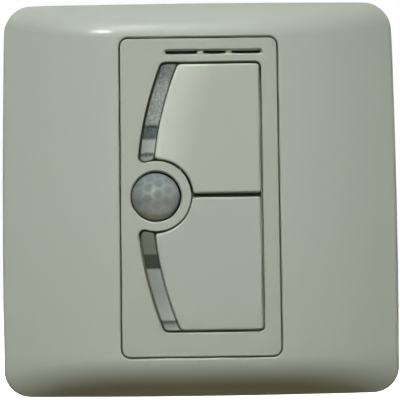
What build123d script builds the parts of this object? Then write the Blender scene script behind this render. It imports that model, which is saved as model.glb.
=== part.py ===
from build123d import *
import math
import os

# Two-button wall switch with a motion sensor, built as it comes apart on a bench.
# X runs to the right, Y runs into the wall and Z runs up. The wall's surface is y = 0.
# A height is a distance out from the wall towards the room, so things in the wall box
# have heights below zero. All sizes are in millimetres.

# Outer plate
plate_size = 86.0
plate_corner = 5.8
edge_bow = 0.45
face_height = 9.0
rim_height = 3.9
band_slope = math.radians(47.6)
roll_radius = 8.4
side_curve = 74.0
flat_half_width = 17.5
frame_wall = 2.0
rim_edge = 1.0
form_reach = 50.0
form_depth = 4.0
form_top = 12.0
notch_width = 9.0
notch_height = 1.3
upright_share = 0.9

# How far joined solids reach into each other, how far a cutter reaches past a face, and
# how little a thing may rise and still count as level
lap = 0.1
past = 1.0
level = 1e-3

# Window in the plate and the insert that fills it
window_width = 34.3
window_tall = 68.8
window_corner = 2.0
window_edge = 0.4
insert_gap = 0.25
collar_wall = 1.3
flange_top = 3.8
panel_wall = 1.8
panel_edge = 0.3
skirt_wall = 1.2
flange_width = 37.0
flange_tall = 72.4
flange_corner = 2.5

# Button well, with a round arc on its left side
well_top = 29.0
well_right = 13.5
well_left = -9.5
well_corner = 1.4
tip_round = 1.2
well_wall = 1.2
well_foot = 2.9
well_edge = 0.3
ledge_clear = 0.15
ledge_heights = (4.2, 5.4)
ledge_left = -3.9
divider_thick = 0.5
divider_left = -2.2
arc_centre_x = 65.2
well_arc = 78.8
strip_arc = 75.38
land_radius = 7.56
land_z = 0.09

# Buttons and the stub pins they tip on
button_top = 28.6
button_right = 13.1
button_gap = 0.8
split_z = 0.2
button_face = 9.1
button_skin = 1.5
button_wall = 1.0
button_foot = 5.6
button_edge = 0.6
button_corner = 0.7
strip_side_corner = 1.2
upper_cut = (-9.4, 0.09, 7.96)
lower_cut = (-9.8, -0.21, 8.14)
pivot_z = 27.65
pivot_height = 5.0
pivot_radius = 0.8
pivot_clear = 0.06
lug_half = 0.85
lug_faces = (-4.2, 12.5)
lug_thick = 1.0
pin_ends = (-6.3, 14.7)
ear_range = (-6.6, -5.45)
ear_z = 26.5
ear_heights = (3.4, 6.2)
presser_x = 4.0
presser_z = 13.65
presser_radius = 1.3
presser_end = 0.4
presser_clear = 0.12
rib_thick = 0.8
rib_depth = 1.1

# Light strips, the trays behind them and the lamps
strip_gap = 0.07
strip_outer = 78.4
tip_gap = 0.15
strip_face = 8.7
strip_foot = 6.2
strip_lip = 1.1
strip_end = 28.6
strip_edge = 0.2
strip_land = 7.8
tray_ends = (8.9, 26.4)
tray_wall = 0.6
tray_floor = (4.4, 5.4)
shaft_half = 2.2
lamp_z = 13.9
lamp_size = (2.0, 2.8, 1.4)
lamp_cup = 0.75
lamp_cup_deep = 0.4

# Motion sensor and its dome of small lenses
lens_x = -9.4
lens_hole = 5.42
lens_rim = 5.03
lens_shift = 0.15
lens_flange = 6.0
lens_flange_thick = 0.8
seal_thick = 0.5
seal_inner = 5.2
lens_skin = 0.6
dome_radius = 5.85
dome_base = 8.75
facet_radius = 4.4
facet_step = math.radians(24.5)
facet_turn = math.radians(24.0)
facet_centre = (0.64, 0.34)
facet_sink = 0.12
hole_bevel = 0.3
nest_rings = (6.45, 7.25)
nest_foot = 5.8
can_radius = 4.1
can_rim = 4.6
can_rim_thick = 0.5
can_top = 5.7
can_round = 0.5
can_tab = 0.9
filter_width = 3.0
filter_tall = 4.0
filter_thick = 0.35
shroud_inner = 4.75
shroud_outer = 5.9
lead_circle = 2.54
lead_radius = 0.23
lead_hole = 0.35
lead_tail = 1.2
lead_angles = (90, 180, 270)

# Row of slots above the buttons
slot_z = 31.1
slot_width = 0.6
slot_ends = [(-7.1, -0.17), (1.07, 6.03), (7.17, 13.45)]
groove_width = 0.62
groove_deep = 0.5
groove_slope = 0.45
groove_margin = 0.03

# Carrier plate
yoke_size = 80.4
yoke_corner = 3.5
yoke_thick = 1.8
yoke_open_width = 40.6
yoke_open_tall = 55.8
yoke_open_cut = 5.5
yoke_wall = 1.2
yoke_wall_top = 3.2
yoke_rib_top = 3.0
yoke_rib_zs = (-9.0, 9.0)
yoke_rib_x = 24.5
yoke_rib_half = 0.5
yoke_rib_gap = 1.0
screw_spacing = 60.3
mount_slot_width = 4.4
mount_slot_length = 7.0
mount_pad_margin = 2.1
mount_pad_top = 2.4

# Spring hooks of the plate, their catches, and the clips of the insert
hook_x = 14.0
hook_z = 37.0
hook_width = 6.0
hook_thick = 1.2
hook_root = 8.0
hook_tip = 2.0
hook_barb = 0.6
hook_barb_top = 3.0
hook_barb_face = 0.2
catch_z = 38.45
catch_thick = 1.1
catch_top = 4.4
catch_bar = 3.1
catch_side = 1.0
catch_play = 0.3
clip_x = 8.0
clip_z = 33.2
clip_width = 4.0
clip_thick = 1.2
clip_root = 2.6
clip_tip = -1.8
clip_barb = 0.5
clip_barb_top = -0.05
clip_barb_low = -0.9
clip_play = 0.3
clip_flex = 0.6

# Box in the wall
box_width = 48.0
box_tall = 62.0
box_deep = 26.0
box_corner = 4.0
box_wall = 2.0
box_edge = 1.2
boss_x = 20.9
boss_z = 27.9
boss_radius = 3.2
pilot_radius = 1.15
pilot_deep = 10.0
shank_radius = 1.1
shank_long = 9.5
screw_pass = 1.4
screw_head = 2.2
screw_head_tall = 1.4
drive_width = 0.6
drive_deep = 0.7
ledge_width = 2.4
ledge_z = 12.2
ledge_x_low = 17.6
ledge_x_high = 18.8

# Boards and the pin strip between them
board_thick = 1.6
control_low = -1.0
control_size = (39.6, 54.0)
control_cut = 5.0
power_low = -9.6
power_size = (36.8, 55.0)
power_cut = 6.0
header_x = 2.0
header_z = 22.0
header_pitch = 2.54
header_count = 6
header_block = 2.5
pin_width = 0.64
pin_hole = 0.5
pin_tail = 1.0
pin_head = 0.6

# Push switches and the chip on the control board
tact_size = 6.0
tact_tall = 3.5
tact_corner = 0.4
tact_rivet = (2.4, 0.45, 0.2)
stem_radius = 1.7
stem_clear = 0.05
stem_heights = (2.45, 5.0)
stem_bore_low = 2.0
stem_edge = 0.2
chip_size = (8.7, 3.9, 1.5)
chip_place = (7.0, -4.6)
chip_leads = 7
chip_pitch = 1.27
chip_lead = (0.4, 1.0, 0.25)

# Mains parts on the back of the power board
relay_size = (10.0, 18.4, 12.8)
relay_z = -6.2
relay_places = {"first_relay": -12.0, "second_relay": -1.0}
relay_edge = 0.6
trafo_place = (10.9, -7.0)
trafo_core = (13.0, 13.0, 6.0)
trafo_bobbin = (8.8, 9.8, 11.0)
trafo_leg = 3.2
line_cap_place = (-10.4, 8.9)
line_cap_size = (13.0, 5.4, 11.0)
can_cap_place = (11.5, 8.0)
can_cap_radius = 4.0
can_cap_tall = 11.5
can_cap_neck = (1.6, 0.3)
fuse_place = (1.0, 12.0)
fuse_radius = 4.2
fuse_tall = 7.5
varistor_place = (-10.4, 18.6)
varistor_radius = 4.4
varistor_thick = 3.6
varistor_lift = 1.0
varistor_leads = (2.5, 0.35)
varistor_hole = 0.5

# Wire terminals
terminal_count = 4
terminal_pitch = 7.6
block_width = 31.6
block_zs = (-28.8, -17.4)
nose_step = 0.8
nose_gap = 0.15
clamp_width = 5.4
clamp_zs = (-27.6, -19.2)
clamp_heights = (-20.6, -12.6)
clamp_bore = 1.9
wire_size = 3.6
wire_height = -14.9
terminal_screw_z = -23.6
thread_radius = 1.55
terminal_shank = 1.5
terminal_head = 2.1
terminal_head_heights = (-24.4, -22.5)
terminal_tip = -17.2
terminal_well = 2.4
tag_size = (1.2, 0.8)
tag_hole = (1.5, 1.1)
tag_end = -7.4

flange_low = yoke_thick
panel_back = face_height - panel_wall
flange_top_height = panel_back - seal_thick
control_top = control_low + board_thick
power_top = power_low + board_thick
box_floor = box_wall - box_deep
outward = (0, -1, 0)


def face_on(height):
    """The plane at this height, seen from the room: its x is X and its y is Z."""
    return Plane(origin=(0, -height, 0), x_dir=(1, 0, 0), z_dir=outward)


def layer(shape, low, high):
    """A flat shape, drawn as seen from the room, made solid between two heights."""
    return extrude(face_on(low) * shape, amount=high - low, dir=outward)


def at(x, z, shape):
    return Pos(x, z) * shape


def block(xs, zs, heights):
    """A block between two places in X, two in Z and two heights."""
    flat = Rectangle(xs[1] - xs[0], zs[1] - zs[0])
    return layer(at(sum(xs) / 2, sum(zs) / 2, flat), *heights)


def centred_block(x, z, size, heights):
    return layer(at(x, z, Rectangle(*size)), *heights)


def post(x, z, radius, low, high):
    return layer(at(x, z, Circle(radius)), low, high)


def rod_along_x(xs, height, z, radius):
    start = Plane(origin=(xs[0], -height, z), x_dir=(0, 1, 0), z_dir=(1, 0, 0))
    return extrude(start * Circle(radius), amount=xs[1] - xs[0])


def edges_at(solid, height, near=level):
    """The edges that lie flat at one height."""
    edges = [e for e in solid.edges() if abs(e.center().Y + height) < near]
    return [e for e in edges if e.bounding_box().size.Y < near]


def mirrored(solid):
    """The same piece below the middle: the switch is alike above and below z = 0."""
    return mirror(solid, Plane.XY)


def save(name, *solids):
    """Writes one piece, or one group of loose solids that share a name."""
    export_step(Compound(children=[s.solid() for s in solids]), f"parts/{name}.step")
    print(name, round(sum(s.volume for s in solids), 1))


# Outer plate


def plate_outline(size):
    """A square whose sides swell a little in the middle, as the plate's do."""
    half, low = size / 2, size / 2 - edge_bow
    sides = [
        ThreePointArc((-low, -low), (0, -half), (low, -low)),
        ThreePointArc((low, -low), (half, 0), (low, low)),
        ThreePointArc((low, low), (0, half), (-low, low)),
        ThreePointArc((-low, low), (-half, 0), (-low, -low)),
    ]
    return make_face(Curve() + sides)


def falling_front(height, curve):
    """A bar seen from above: flat in the middle, falling on a large arc to each side."""

    def on_arc(run):
        return (flat_half_width + run, -height + curve - math.sqrt(curve**2 - run**2))

    reach = form_reach - flat_half_width
    foot = (form_reach, form_depth)
    lines = [
        Line((0, -height), on_arc(0)),
        ThreePointArc(on_arc(0), on_arc(reach / 2), on_arc(reach)),
        Line(on_arc(reach), foot),
        Line(foot, (0, form_depth)),
        Line((0, form_depth), (0, -height)),
    ]
    half = make_face(Curve() + lines)
    return extrude(half + mirror(half, Plane.YZ), amount=form_reach, both=True)


def sloped_bands(inset):
    """A bar seen from the side, whose top and bottom slope back to the wall."""
    rim_z = plate_size / 2 - inset / math.sin(band_slope)

    def band_z(height):
        return rim_z - (height - rim_height) / math.tan(band_slope)

    low, high = -form_depth, form_top
    upper = [(-high, band_z(high)), (-low, band_z(low))]
    lower = [(-low, -band_z(low)), (-high, -band_z(high))]
    return extrude(Plane.YZ * Polygon(*lower, *upper, align=None), amount=form_reach, both=True)


def cushion(inset):
    """The plate's outer form, or the same form drawn in by a wall thickness.

    The front and the bands meet in a crease that bends with the front. One round roll
    along it gives the soft brow that narrows towards the corners.
    """
    form = falling_front(face_height - inset, side_curve - inset) & sloped_bands(inset)
    rim_z = plate_size / 2
    creases = [
        e
        for e in form.edges()
        if abs(e.center().Z) > rim_z - 2 * roll_radius
        and e.center().Y < 0
        and abs(e.center().X) < form_reach - past
    ]
    form = fillet(creases, roll_radius - inset)
    form &= layer(plate_outline(plate_size - 2 * inset), -past if inset else 0, form_top)
    corners = [
        e
        for e in form.edges()
        if min(abs(e.center().X), abs(e.center().Z)) > rim_z - plate_corner / 2
        and e.bounding_box().size.Y > upright_share * e.length
    ]
    return fillet(corners, plate_corner - inset)


def rim_edges(form):
    """The closed line where the rounded front meets the plate's upright sides."""
    uprights = [f for f in form.faces() if abs(f.normal_at().Y) < level]
    lines = [e for f in uprights for e in f.edges()]
    seams = [e for e in lines if e.bounding_box().size.Y < upright_share * e.length]
    return [e for e in seams if e.center().Y < -rim_edge]


def snap_hook(x):
    """A spring hook behind the plate's top edge, with a wedge that faces out."""
    back = hook_z + hook_thick
    side = [
        (-hook_root, hook_z),
        (-hook_tip, hook_z),
        (-hook_tip, back),
        (-hook_barb_top + hook_barb_face, back + hook_barb),
        (-hook_barb_top, back + hook_barb),
        (-hook_barb_top, back),
        (-hook_root, back),
    ]
    blade = extrude(Plane.YZ * Polygon(*side, align=None), amount=hook_width / 2, both=True)
    return Pos(x, 0, 0) * blade


def face_frame():
    """The outer plate: a thin moulded cushion with a window, a collar and four hooks."""
    outside = cushion(0)
    outside = fillet(rim_edges(outside), rim_edge)
    shell = outside - cushion(frame_wall)
    collar_size = (window_width + 2 * collar_wall, window_tall + 2 * collar_wall)
    collar = RectangleRounded(*collar_size, window_corner + collar_wall)
    shell += layer(collar, flange_top, face_height - frame_wall / 2)
    for x in (-hook_x, hook_x):
        shell += snap_hook(x)
        shell += mirrored(snap_hook(x))
    window = RectangleRounded(window_width, window_tall, window_corner)
    shell -= layer(window, -past, form_top)
    rims = [e for e in edges_at(shell, face_height) if abs(e.center().X) < window_width / 2 + lap]
    shell = fillet([e for e in rims if abs(e.center().Z) < window_tall / 2 + lap], window_edge)
    notch_xs = (-notch_width / 2, notch_width / 2)
    notch_zs = (-plate_size / 2 - past, -plate_size / 2 + frame_wall + past)
    return shell - block(notch_xs, notch_zs, (-past, notch_height))


# Insert


def ring_band(outer, inner_radius, low_z, high_z, land):
    """Part of a ring about the well arc's centre, cut off round at the sensor's land."""
    band = at(arc_centre_x, 0, Circle(outer)) - at(arc_centre_x, 0, Circle(inner_radius))
    reach = outer - arc_centre_x
    zone = at(-reach / 2, (low_z + high_z) / 2, Rectangle(reach + past, high_z - low_z))
    return (band & zone) - at(lens_x, 0, Circle(land))


def well_outline():
    """The well's mouth: square on three sides, an arc on the left, round the sensor's land."""
    reach = well_right + well_arc - arc_centre_x + past
    square = at(well_right - reach / 2, 0, Rectangle(reach, 2 * well_top))
    mouth = square & at(arc_centre_x, 0, Circle(well_arc))
    mouth = fillet(mouth.vertices(), well_corner)
    mouth -= at(lens_x, land_z, Circle(land_radius))
    return fillet(mouth.vertices().filter_by(near_the_land), tip_round)


def near_the_land(vertex):
    """True for the two sharp tips of the well, where its arc runs into the land."""
    return math.hypot(vertex.X - lens_x, vertex.Y - land_z) < land_radius + lap


def panel_clip(x):
    """A spring clip of the insert that grips the carrier's back edge."""
    back = clip_z + clip_thick
    side = [
        (-clip_root, clip_z),
        (-clip_tip, clip_z),
        (-clip_tip, back),
        (-clip_barb_low, back + clip_barb),
        (-clip_barb_top, back + clip_barb),
        (-clip_barb_top, back),
        (-clip_root, back),
    ]
    blade = extrude(Plane.YZ * Polygon(*side, align=None), amount=clip_width / 2, both=True)
    return Pos(x, 0, 0) * blade


def well_walls():
    """Walls behind the well on three sides. They carry the bearings of the buttons."""
    outer_right = well_right + well_wall
    outer_top = well_top + well_wall
    walls = block((well_left, outer_right), (-outer_top, outer_top), (well_foot, panel_back + lap))
    walls -= block((well_left - past, well_right), (-well_top, well_top), (well_foot - past, face_height))
    ledge = block((ledge_left, well_right + lap), (-well_top - lap, well_top + lap), ledge_heights)
    inner_right, inner_top = button_right + ledge_clear, button_top + ledge_clear
    walls += ledge - block((ledge_left - past, inner_right), (-inner_top, inner_top), (0, face_height))
    divider_zs = (split_z - divider_thick / 2, split_z + divider_thick / 2)
    walls += block((divider_left, well_right + lap), divider_zs, (well_foot, ledge_heights[1]))
    ear = block(ear_range, (ear_z, well_top + lap), ear_heights)
    walls += ear
    walls += mirrored(ear)
    hole_xs = (ear_range[0] - past, outer_right + past)
    hole = rod_along_x(hole_xs, pivot_height, pivot_z, pivot_radius + pivot_clear)
    return walls - hole - mirrored(hole)


def centre_panel():
    """The flat insert with the button well, the sensor's land and the three slots."""
    size = (window_width - 2 * insert_gap, window_tall - 2 * insert_gap)
    corner = window_corner - insert_gap
    outline = RectangleRounded(*size, corner)
    hollow = RectangleRounded(size[0] - 2 * skirt_wall, size[1] - 2 * skirt_wall, corner / 4)
    panel = layer(outline, panel_back, face_height)
    panel = fillet(edges_at(panel, face_height), panel_edge)
    panel -= layer(well_outline(), panel_back - past, face_height + past)
    rims = [e for e in edges_at(panel, face_height) if abs(e.center().Z) < well_top + lap]
    panel = fillet([e for e in rims if abs(e.center().X) < size[0] / 2 - 2 * panel_edge], well_edge)
    panel += layer(outline - hollow, flange_top, panel_back)
    flange = RectangleRounded(flange_width, flange_tall, flange_corner)
    panel += layer(flange - hollow, flange_low, flange_top)
    nest = Circle(nest_rings[1]) - Circle(nest_rings[0])
    panel += layer(at(lens_x, 0, nest), nest_foot, panel_back)
    panel += well_walls()
    for x in (-clip_x, clip_x):
        panel += panel_clip(x)
        panel += mirrored(panel_clip(x))
    panel -= post(lens_x, 0, lens_hole, panel_back - past, face_height + past)
    circles = [e for e in edges_at(panel, face_height) if e.geom_type == GeomType.CIRCLE]
    panel = chamfer([e for e in circles if abs(e.radius - lens_hole) < lap], hole_bevel)
    ends = (slot_ends[0][0] - groove_margin, slot_ends[-1][1] + groove_margin)
    groove = at(sum(ends) / 2, slot_z, SlotOverall(ends[1] - ends[0], groove_width))
    panel -= layer(groove, face_height - groove_deep, face_height + past)
    brim = [e for e in edges_at(panel, face_height) if abs(e.center().Z - slot_z) < groove_width]
    return chamfer(brim, groove_slope) - slot_row()


def slot_row():
    """The three slots in the groove's floor, as cutters."""
    cutters = []
    for left, right in slot_ends:
        slot = at((left + right) / 2, slot_z, SlotOverall(right - left, slot_width))
        cutters.append(layer(slot, panel_back - past, face_height + past))
    return cutters


# Buttons


def button_outline(low, cut):
    left = arc_centre_x - strip_arc - past
    size = (button_right - left, button_top - low)
    square = at((left + button_right) / 2, (low + button_top) / 2, Rectangle(*size))
    shape = square & at(arc_centre_x, 0, Circle(strip_arc - strip_gap))
    shape -= at(cut[0], cut[1], Circle(cut[2]))
    corners = shape.vertices()
    by_strip = corners.sort_by(Axis.Y)[-2:].sort_by(Axis.X)[0]
    shape = fillet([v for v in corners if v is not by_strip], button_corner)
    return fillet(shape.vertices().sort_by_distance(by_strip)[0], strip_side_corner)


def stub_pin(lug_face, pin_end):
    """A lug on the button's underside with the stub pin it tips on."""
    side = 1 if pin_end > lug_face else -1
    lug = (lug_face - side * lug_thick, lug_face)
    zs = (pivot_z - lug_half, pivot_z + lug_half)
    solid = block(sorted(lug), zs, (pivot_height, button_face - button_skin + lap))
    solid += rod_along_x(sorted(lug), pivot_height, pivot_z, lug_half)
    return solid + rod_along_x(sorted((lug_face, pin_end)), pivot_height, pivot_z, pivot_radius)


def button(low, cut):
    """A hollow cap, ribbed below, with two stub pins and the presser for its switch.

    It is drawn for the upper place, with its free edge this far above the middle and
    with a round cut, given by its centre and radius, beside the sensor's land.
    """
    outline = button_outline(low, cut)
    skin_back = button_face - button_skin
    button = layer(outline, button_foot, button_face)
    button = fillet(edges_at(button, button_face), button_edge)
    hollow = offset(outline, amount=-button_wall)
    rib_heights = (skin_back - rib_depth, skin_back)
    rib_xs = (presser_x - rib_thick / 2, presser_x + rib_thick / 2)
    rib_zs = (presser_z - rib_thick / 2, presser_z + rib_thick / 2)
    ribs = block(rib_xs, (0, button_top), rib_heights)
    ribs += block((-button_top, button_right), rib_zs, rib_heights)
    button -= layer(hollow, button_foot - past, skin_back) - ribs
    presser_foot = stem_heights[1] + presser_clear
    presser = post(presser_x, presser_z, presser_radius, presser_foot, skin_back + lap)
    button += fillet(edges_at(presser, presser_foot), presser_end)
    for lug_face, pin_end in zip(lug_faces, pin_ends):
        button += stub_pin(lug_face, pin_end)
    return button


# Light strips


def near_the_strip_land(vertex):
    return math.hypot(vertex.X - lens_x, vertex.Y) < strip_land + lap


def at_the_strip_end(vertex):
    return vertex.Y > strip_end - lap


def upper_light_window():
    """A frosted strip with a lip that tucks behind the insert's edge."""
    inner_radius = strip_arc + strip_gap
    low = tray_ends[0] - strip_land
    strip = ring_band(strip_outer, inner_radius, low, strip_end, strip_land)
    lip = ring_band(strip_outer + strip_lip, inner_radius, low, strip_end, strip_land)
    tips = [v for v in strip.vertices() if v.X < strip.center().X and near_the_strip_land(v)]
    strip = fillet(tips, tip_round - tip_gap)
    outer_end = strip.vertices().filter_by(at_the_strip_end).sort_by(Axis.X)[0]
    window = layer(fillet(outer_end, well_corner - tip_gap), panel_back, strip_face)
    window = chamfer(edges_at(window, strip_face), strip_edge)
    return window + layer(lip, strip_foot, panel_back)


def upper_reflector():
    """A white tray behind the strip, with a shaft down to the lamp and two end legs."""
    outer = strip_outer + strip_lip
    inner_radius = strip_arc + strip_gap
    low, high = tray_ends
    tray = layer(ring_band(outer, inner_radius, low, high, strip_land), tray_floor[0], strip_foot)
    shaft_zs = (lamp_z - shaft_half, lamp_z + shaft_half)
    for zs in ((low, low + 2 * tray_wall), shaft_zs, (high - 2 * tray_wall, high)):
        tray += layer(ring_band(outer, inner_radius, *zs, strip_land), control_top, tray_floor[0])
    outer, inner_radius = outer - tray_wall, inner_radius + tray_wall
    trough = ring_band(outer, inner_radius, low + tray_wall, high - tray_wall, strip_land)
    tray -= layer(trough, tray_floor[1], strip_foot + past)
    shaft_zs = (shaft_zs[0] + tray_wall, shaft_zs[1] - tray_wall)
    shaft = ring_band(outer, inner_radius, *shaft_zs, strip_land)
    return tray - layer(shaft, control_top - past, tray_floor[1] + lap)


def lamp_x():
    middle = (strip_outer + strip_arc + strip_lip) / 2
    return arc_centre_x - math.sqrt(middle**2 - lamp_z**2)


def upper_indicator_led():
    """A small surface lamp with a round cup in its face."""
    wide, long, tall = lamp_size
    top = control_top + tall
    lamp = centred_block(lamp_x(), lamp_z, (wide, long), (control_top, top))
    return lamp - post(lamp_x(), lamp_z, lamp_cup, top - lamp_cup_deep, top + past)


# Motion sensor


def facet_directions():
    """Unit directions of the dome's small lenses: one in the middle and two rings."""
    first = Vector(facet_centre[0], facet_centre[1], 0) * (1 / dome_radius)
    middle = Vector(first.X, first.Y, math.sqrt(1 - first.X**2 - first.Y**2))
    across = Vector(0, 1, 0).cross(middle).normalized()
    up = middle.cross(across)
    steps = [(a, b) for a in range(-2, 3) for b in range(-2, 3) if abs(a + b) <= 2]
    for a, b in steps:
        along, beside = a + b / 2, b * math.sqrt(3) / 2
        turn = facet_turn + math.atan2(beside, along)
        tilt = facet_step * math.hypot(along, beside)
        flat = across * math.cos(turn) + up * math.sin(turn)
        yield middle * math.cos(tilt) + flat * math.sin(tilt)


def sensor_lens():
    """A thin milky dome made of nineteen small bulging lenses, on a rim with a flange."""
    centre_height = dome_base - math.sqrt(dome_radius**2 - lens_rim**2)
    x = lens_x - lens_shift
    centre = Vector(x, -centre_height, 0)
    foot = flange_top_height - lens_flange_thick
    dome = Pos(*centre) * Sphere(dome_radius - facet_sink)
    bulge = dome_radius - facet_radius
    for way in facet_directions():
        place = centre + Vector(way.X, -way.Z, way.Y) * bulge
        dome += Pos(*place) * Sphere(facet_radius)
    lens = dome & post(x, 0, lens_rim, foot, dome_base + dome_radius)
    lens += post(x, 0, lens_rim, foot, dome_base - past)
    lens += post(x, 0, lens_flange, foot, flange_top_height)
    hollow = Pos(*centre) * Sphere(dome_radius - facet_sink - lens_skin)
    hollow &= post(x, 0, lens_rim - lens_skin, centre_height, dome_base + dome_radius)
    hollow += post(x, 0, lens_rim - lens_skin, foot - past, panel_back)
    return lens - hollow


def lens_seal():
    """A soft black ring between the dome's flange and the insert, against draughts."""
    ring = Circle(lens_flange) - Circle(seal_inner)
    return layer(at(lens_x - lens_shift, 0, ring), flange_top_height, panel_back)


def sensor_can():
    """The heat sensor's metal can, with a rim, a tab and a square opening on top."""
    can = post(lens_x, 0, can_radius, control_top, can_top)
    can = fillet(edges_at(can, can_top), can_round)
    rim = post(lens_x, 0, can_rim, control_top, control_top + can_rim_thick)
    rim += can_tab_block(can_tab, can_rim_thick)
    opening_heights = (can_top - filter_thick, can_top + past)
    return can + rim - centred_block(lens_x, 0, (filter_width, filter_tall), opening_heights)


def can_tab_block(width, thick):
    """The little tab on the can's rim that shows which way round it goes."""
    slant = can_rim * math.sqrt(0.5)
    tab = Rectangle(2 * can_tab, width, rotation=45)
    return layer(at(lens_x + slant, slant, tab), control_top, control_top + thick)


def sensor_filter():
    return centred_block(lens_x, 0, (filter_width, filter_tall), (can_top - filter_thick, can_top))


def lead_places():
    for angle in lead_angles:
        turn = math.radians(angle)
        yield lens_x + lead_circle * math.cos(turn), lead_circle * math.sin(turn)


def sensor_leads():
    return [post(x, z, lead_radius, control_low - lead_tail, control_top) for x, z in lead_places()]


def sensor_shroud():
    """A black sleeve round the can that the dome's flange rests on."""
    foot = flange_top_height - lens_flange_thick
    sleeve = layer(at(lens_x, 0, Circle(shroud_outer) - Circle(shroud_inner)), control_top, foot)
    return sleeve - can_tab_block(2 * can_tab, 2 * can_rim_thick)


# Carrier plate


def carrier_opening():
    opening = Rectangle(yoke_open_width, yoke_open_tall)
    return chamfer(opening.vertices(), yoke_open_cut)


def corner_places():
    return [(x, z) for x in (-boss_x, boss_x) for z in (-boss_z, boss_z)]


def catch(x):
    """A raised bar over a gap, where one hook of the plate snaps in."""
    half = hook_width / 2 + catch_play
    back = catch_z + catch_thick
    wall_xs = (x - half - catch_side, x + half + catch_side)
    wall = block(wall_xs, (catch_z, back), (yoke_thick - lap, catch_top))
    return wall, block((x - half, x + half), (hook_z - hook_thick, back + past), (yoke_thick, catch_bar))


def mounting_yoke():
    """The carrier plate: screw slots on the wall-box centres, catches, ribs and an edge."""
    outline = RectangleRounded(yoke_size, yoke_size, yoke_corner)
    inside = yoke_size - 2 * yoke_wall
    yoke = layer(outline, 0, yoke_thick)
    yoke += layer(outline - RectangleRounded(inside, inside, yoke_corner - yoke_wall), 0, yoke_wall_top)
    rib_heights = (yoke_thick - lap, yoke_rib_top)
    for side in (-1, 1):
        for z in yoke_rib_zs:
            xs = sorted((side * (flange_width / 2 + yoke_rib_gap), side * (inside / 2 + lap)))
            yoke += block(xs, (z - yoke_rib_half, z + yoke_rib_half), rib_heights)
        for x in (-yoke_rib_x, yoke_rib_x):
            zs = sorted((side * (box_tall / 2 + yoke_rib_gap), side * (inside / 2 + lap)))
            yoke += block((x - yoke_rib_half, x + yoke_rib_half), zs, rib_heights)
    pad_size = (mount_slot_length + 2 * mount_pad_margin, mount_slot_width + 2 * mount_pad_margin)
    for x in (-screw_spacing / 2, screw_spacing / 2):
        yoke += layer(at(x, 0, SlotOverall(*pad_size)), 0, mount_pad_top)
    for x in (-hook_x, hook_x):
        wall, gap = catch(x)
        yoke = yoke + wall + mirrored(wall) - gap - mirrored(gap)
        yoke -= mount_cut(x / hook_x * screw_spacing / 2)
        yoke -= clip_slot(x / hook_x * clip_x)
        yoke -= mirrored(clip_slot(x / hook_x * clip_x))
    yoke -= layer(carrier_opening(), -past, yoke_wall_top)
    for x, z in corner_places():
        yoke -= post(x, z, screw_pass, -past, yoke_wall_top)
    return yoke


def mount_cut(x):
    return layer(at(x, 0, SlotOverall(mount_slot_length, mount_slot_width)), -past, yoke_wall_top)


def clip_slot(x):
    half = clip_width / 2 + clip_play
    zs = (clip_z - clip_flex, clip_z + clip_thick + lap)
    return block((x - half, x + half), zs, (-past, yoke_wall_top))


# Box in the wall


def rear_housing():
    """The box behind the carrier, with corner bosses, board ledges and the wire entries."""
    shell = layer(RectangleRounded(box_width, box_tall, box_corner), -box_deep, 0)
    shell = fillet(edges_at(shell, -box_deep), box_edge)
    inside = (box_width - 2 * box_wall, box_tall - 2 * box_wall)
    shell -= layer(RectangleRounded(*inside, box_corner - box_wall), box_floor, past)
    body = layer(RectangleRounded(box_width - lap, box_tall - lap, box_corner), box_floor - past, 0)
    for x, z in corner_places():
        shell += post(x, z, boss_radius, box_floor - lap, 0) & body
        shell -= post(x, z, pilot_radius, -pilot_deep, past)
    for side in (-1, 1):
        wall = side * (inside[0] / 2 + lap)
        for z in (-ledge_z, ledge_z):
            zs = (z - ledge_width / 2, z + ledge_width / 2)
            shell += block(sorted((side * ledge_x_low, wall)), zs, (box_floor - lap, power_low))
            shell += block(sorted((side * ledge_x_high, wall)), zs, (power_low - lap, control_low))
    shell -= centred_block(0, block_middle_z(), nose_size(nose_gap), (-box_deep - past, box_floor + lap))
    for x in terminal_xs():
        shell -= wire_entry(x, (-box_tall / 2 - past, block_zs[0]))
    return shell


def block_middle_z():
    return sum(block_zs) / 2


def nose_size(extra):
    """The terminal block's narrower end, which shows through the back of the box."""
    tall = block_zs[1] - block_zs[0]
    return (block_width - 2 * (nose_step - extra), tall - 2 * (nose_step - extra))


def terminal_xs():
    return [terminal_pitch * (i - (terminal_count - 1) / 2) for i in range(terminal_count)]


def wire_entry(x, zs):
    """A square way in for one wire, from the bottom of the box."""
    half = wire_size / 2
    return block((x - half, x + half), zs, (wire_height - half, wire_height + half))


def terminal_block():
    """The moulded block that holds the brass clamps, flush with the back of the box."""
    body = block((-block_width / 2, block_width / 2), block_zs, (box_floor, power_low))
    body += centred_block(0, block_middle_z(), nose_size(0), (-box_deep, box_floor + lap))
    for x in terminal_xs():
        half = clamp_width / 2
        body -= block((x - half, x + half), clamp_zs, (clamp_heights[0], power_low + past))
        body -= post(x, terminal_screw_z, terminal_well, -box_deep - past, clamp_heights[0] + lap)
        body -= wire_entry(x, (block_zs[0] - past, clamp_zs[0] + lap))
    return body


def terminal_clamp(x):
    """A brass clamp: a wire bore up the middle, a screw hole from behind, a solder tag."""
    half = clamp_width / 2
    clamp = block((x - half, x + half), clamp_zs, clamp_heights)
    start = Plane(origin=(x, -wire_height, clamp_zs[0] - past), x_dir=(1, 0, 0), z_dir=(0, 0, 1))
    clamp -= extrude(start * Circle(clamp_bore), amount=clamp_zs[1] - clamp_zs[0] + 2 * past)
    clamp -= post(x, terminal_screw_z, thread_radius, clamp_heights[0] - past, wire_height)
    return clamp + centred_block(x, terminal_screw_z, tag_size, (clamp_heights[1] - lap, tag_end))


def slotted(screw, x, z, low, high, radius):
    """Cuts a driver slot across a screw's head."""
    return screw - centred_block(x, z, (2 * radius + past, drive_width), (low, high))


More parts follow.
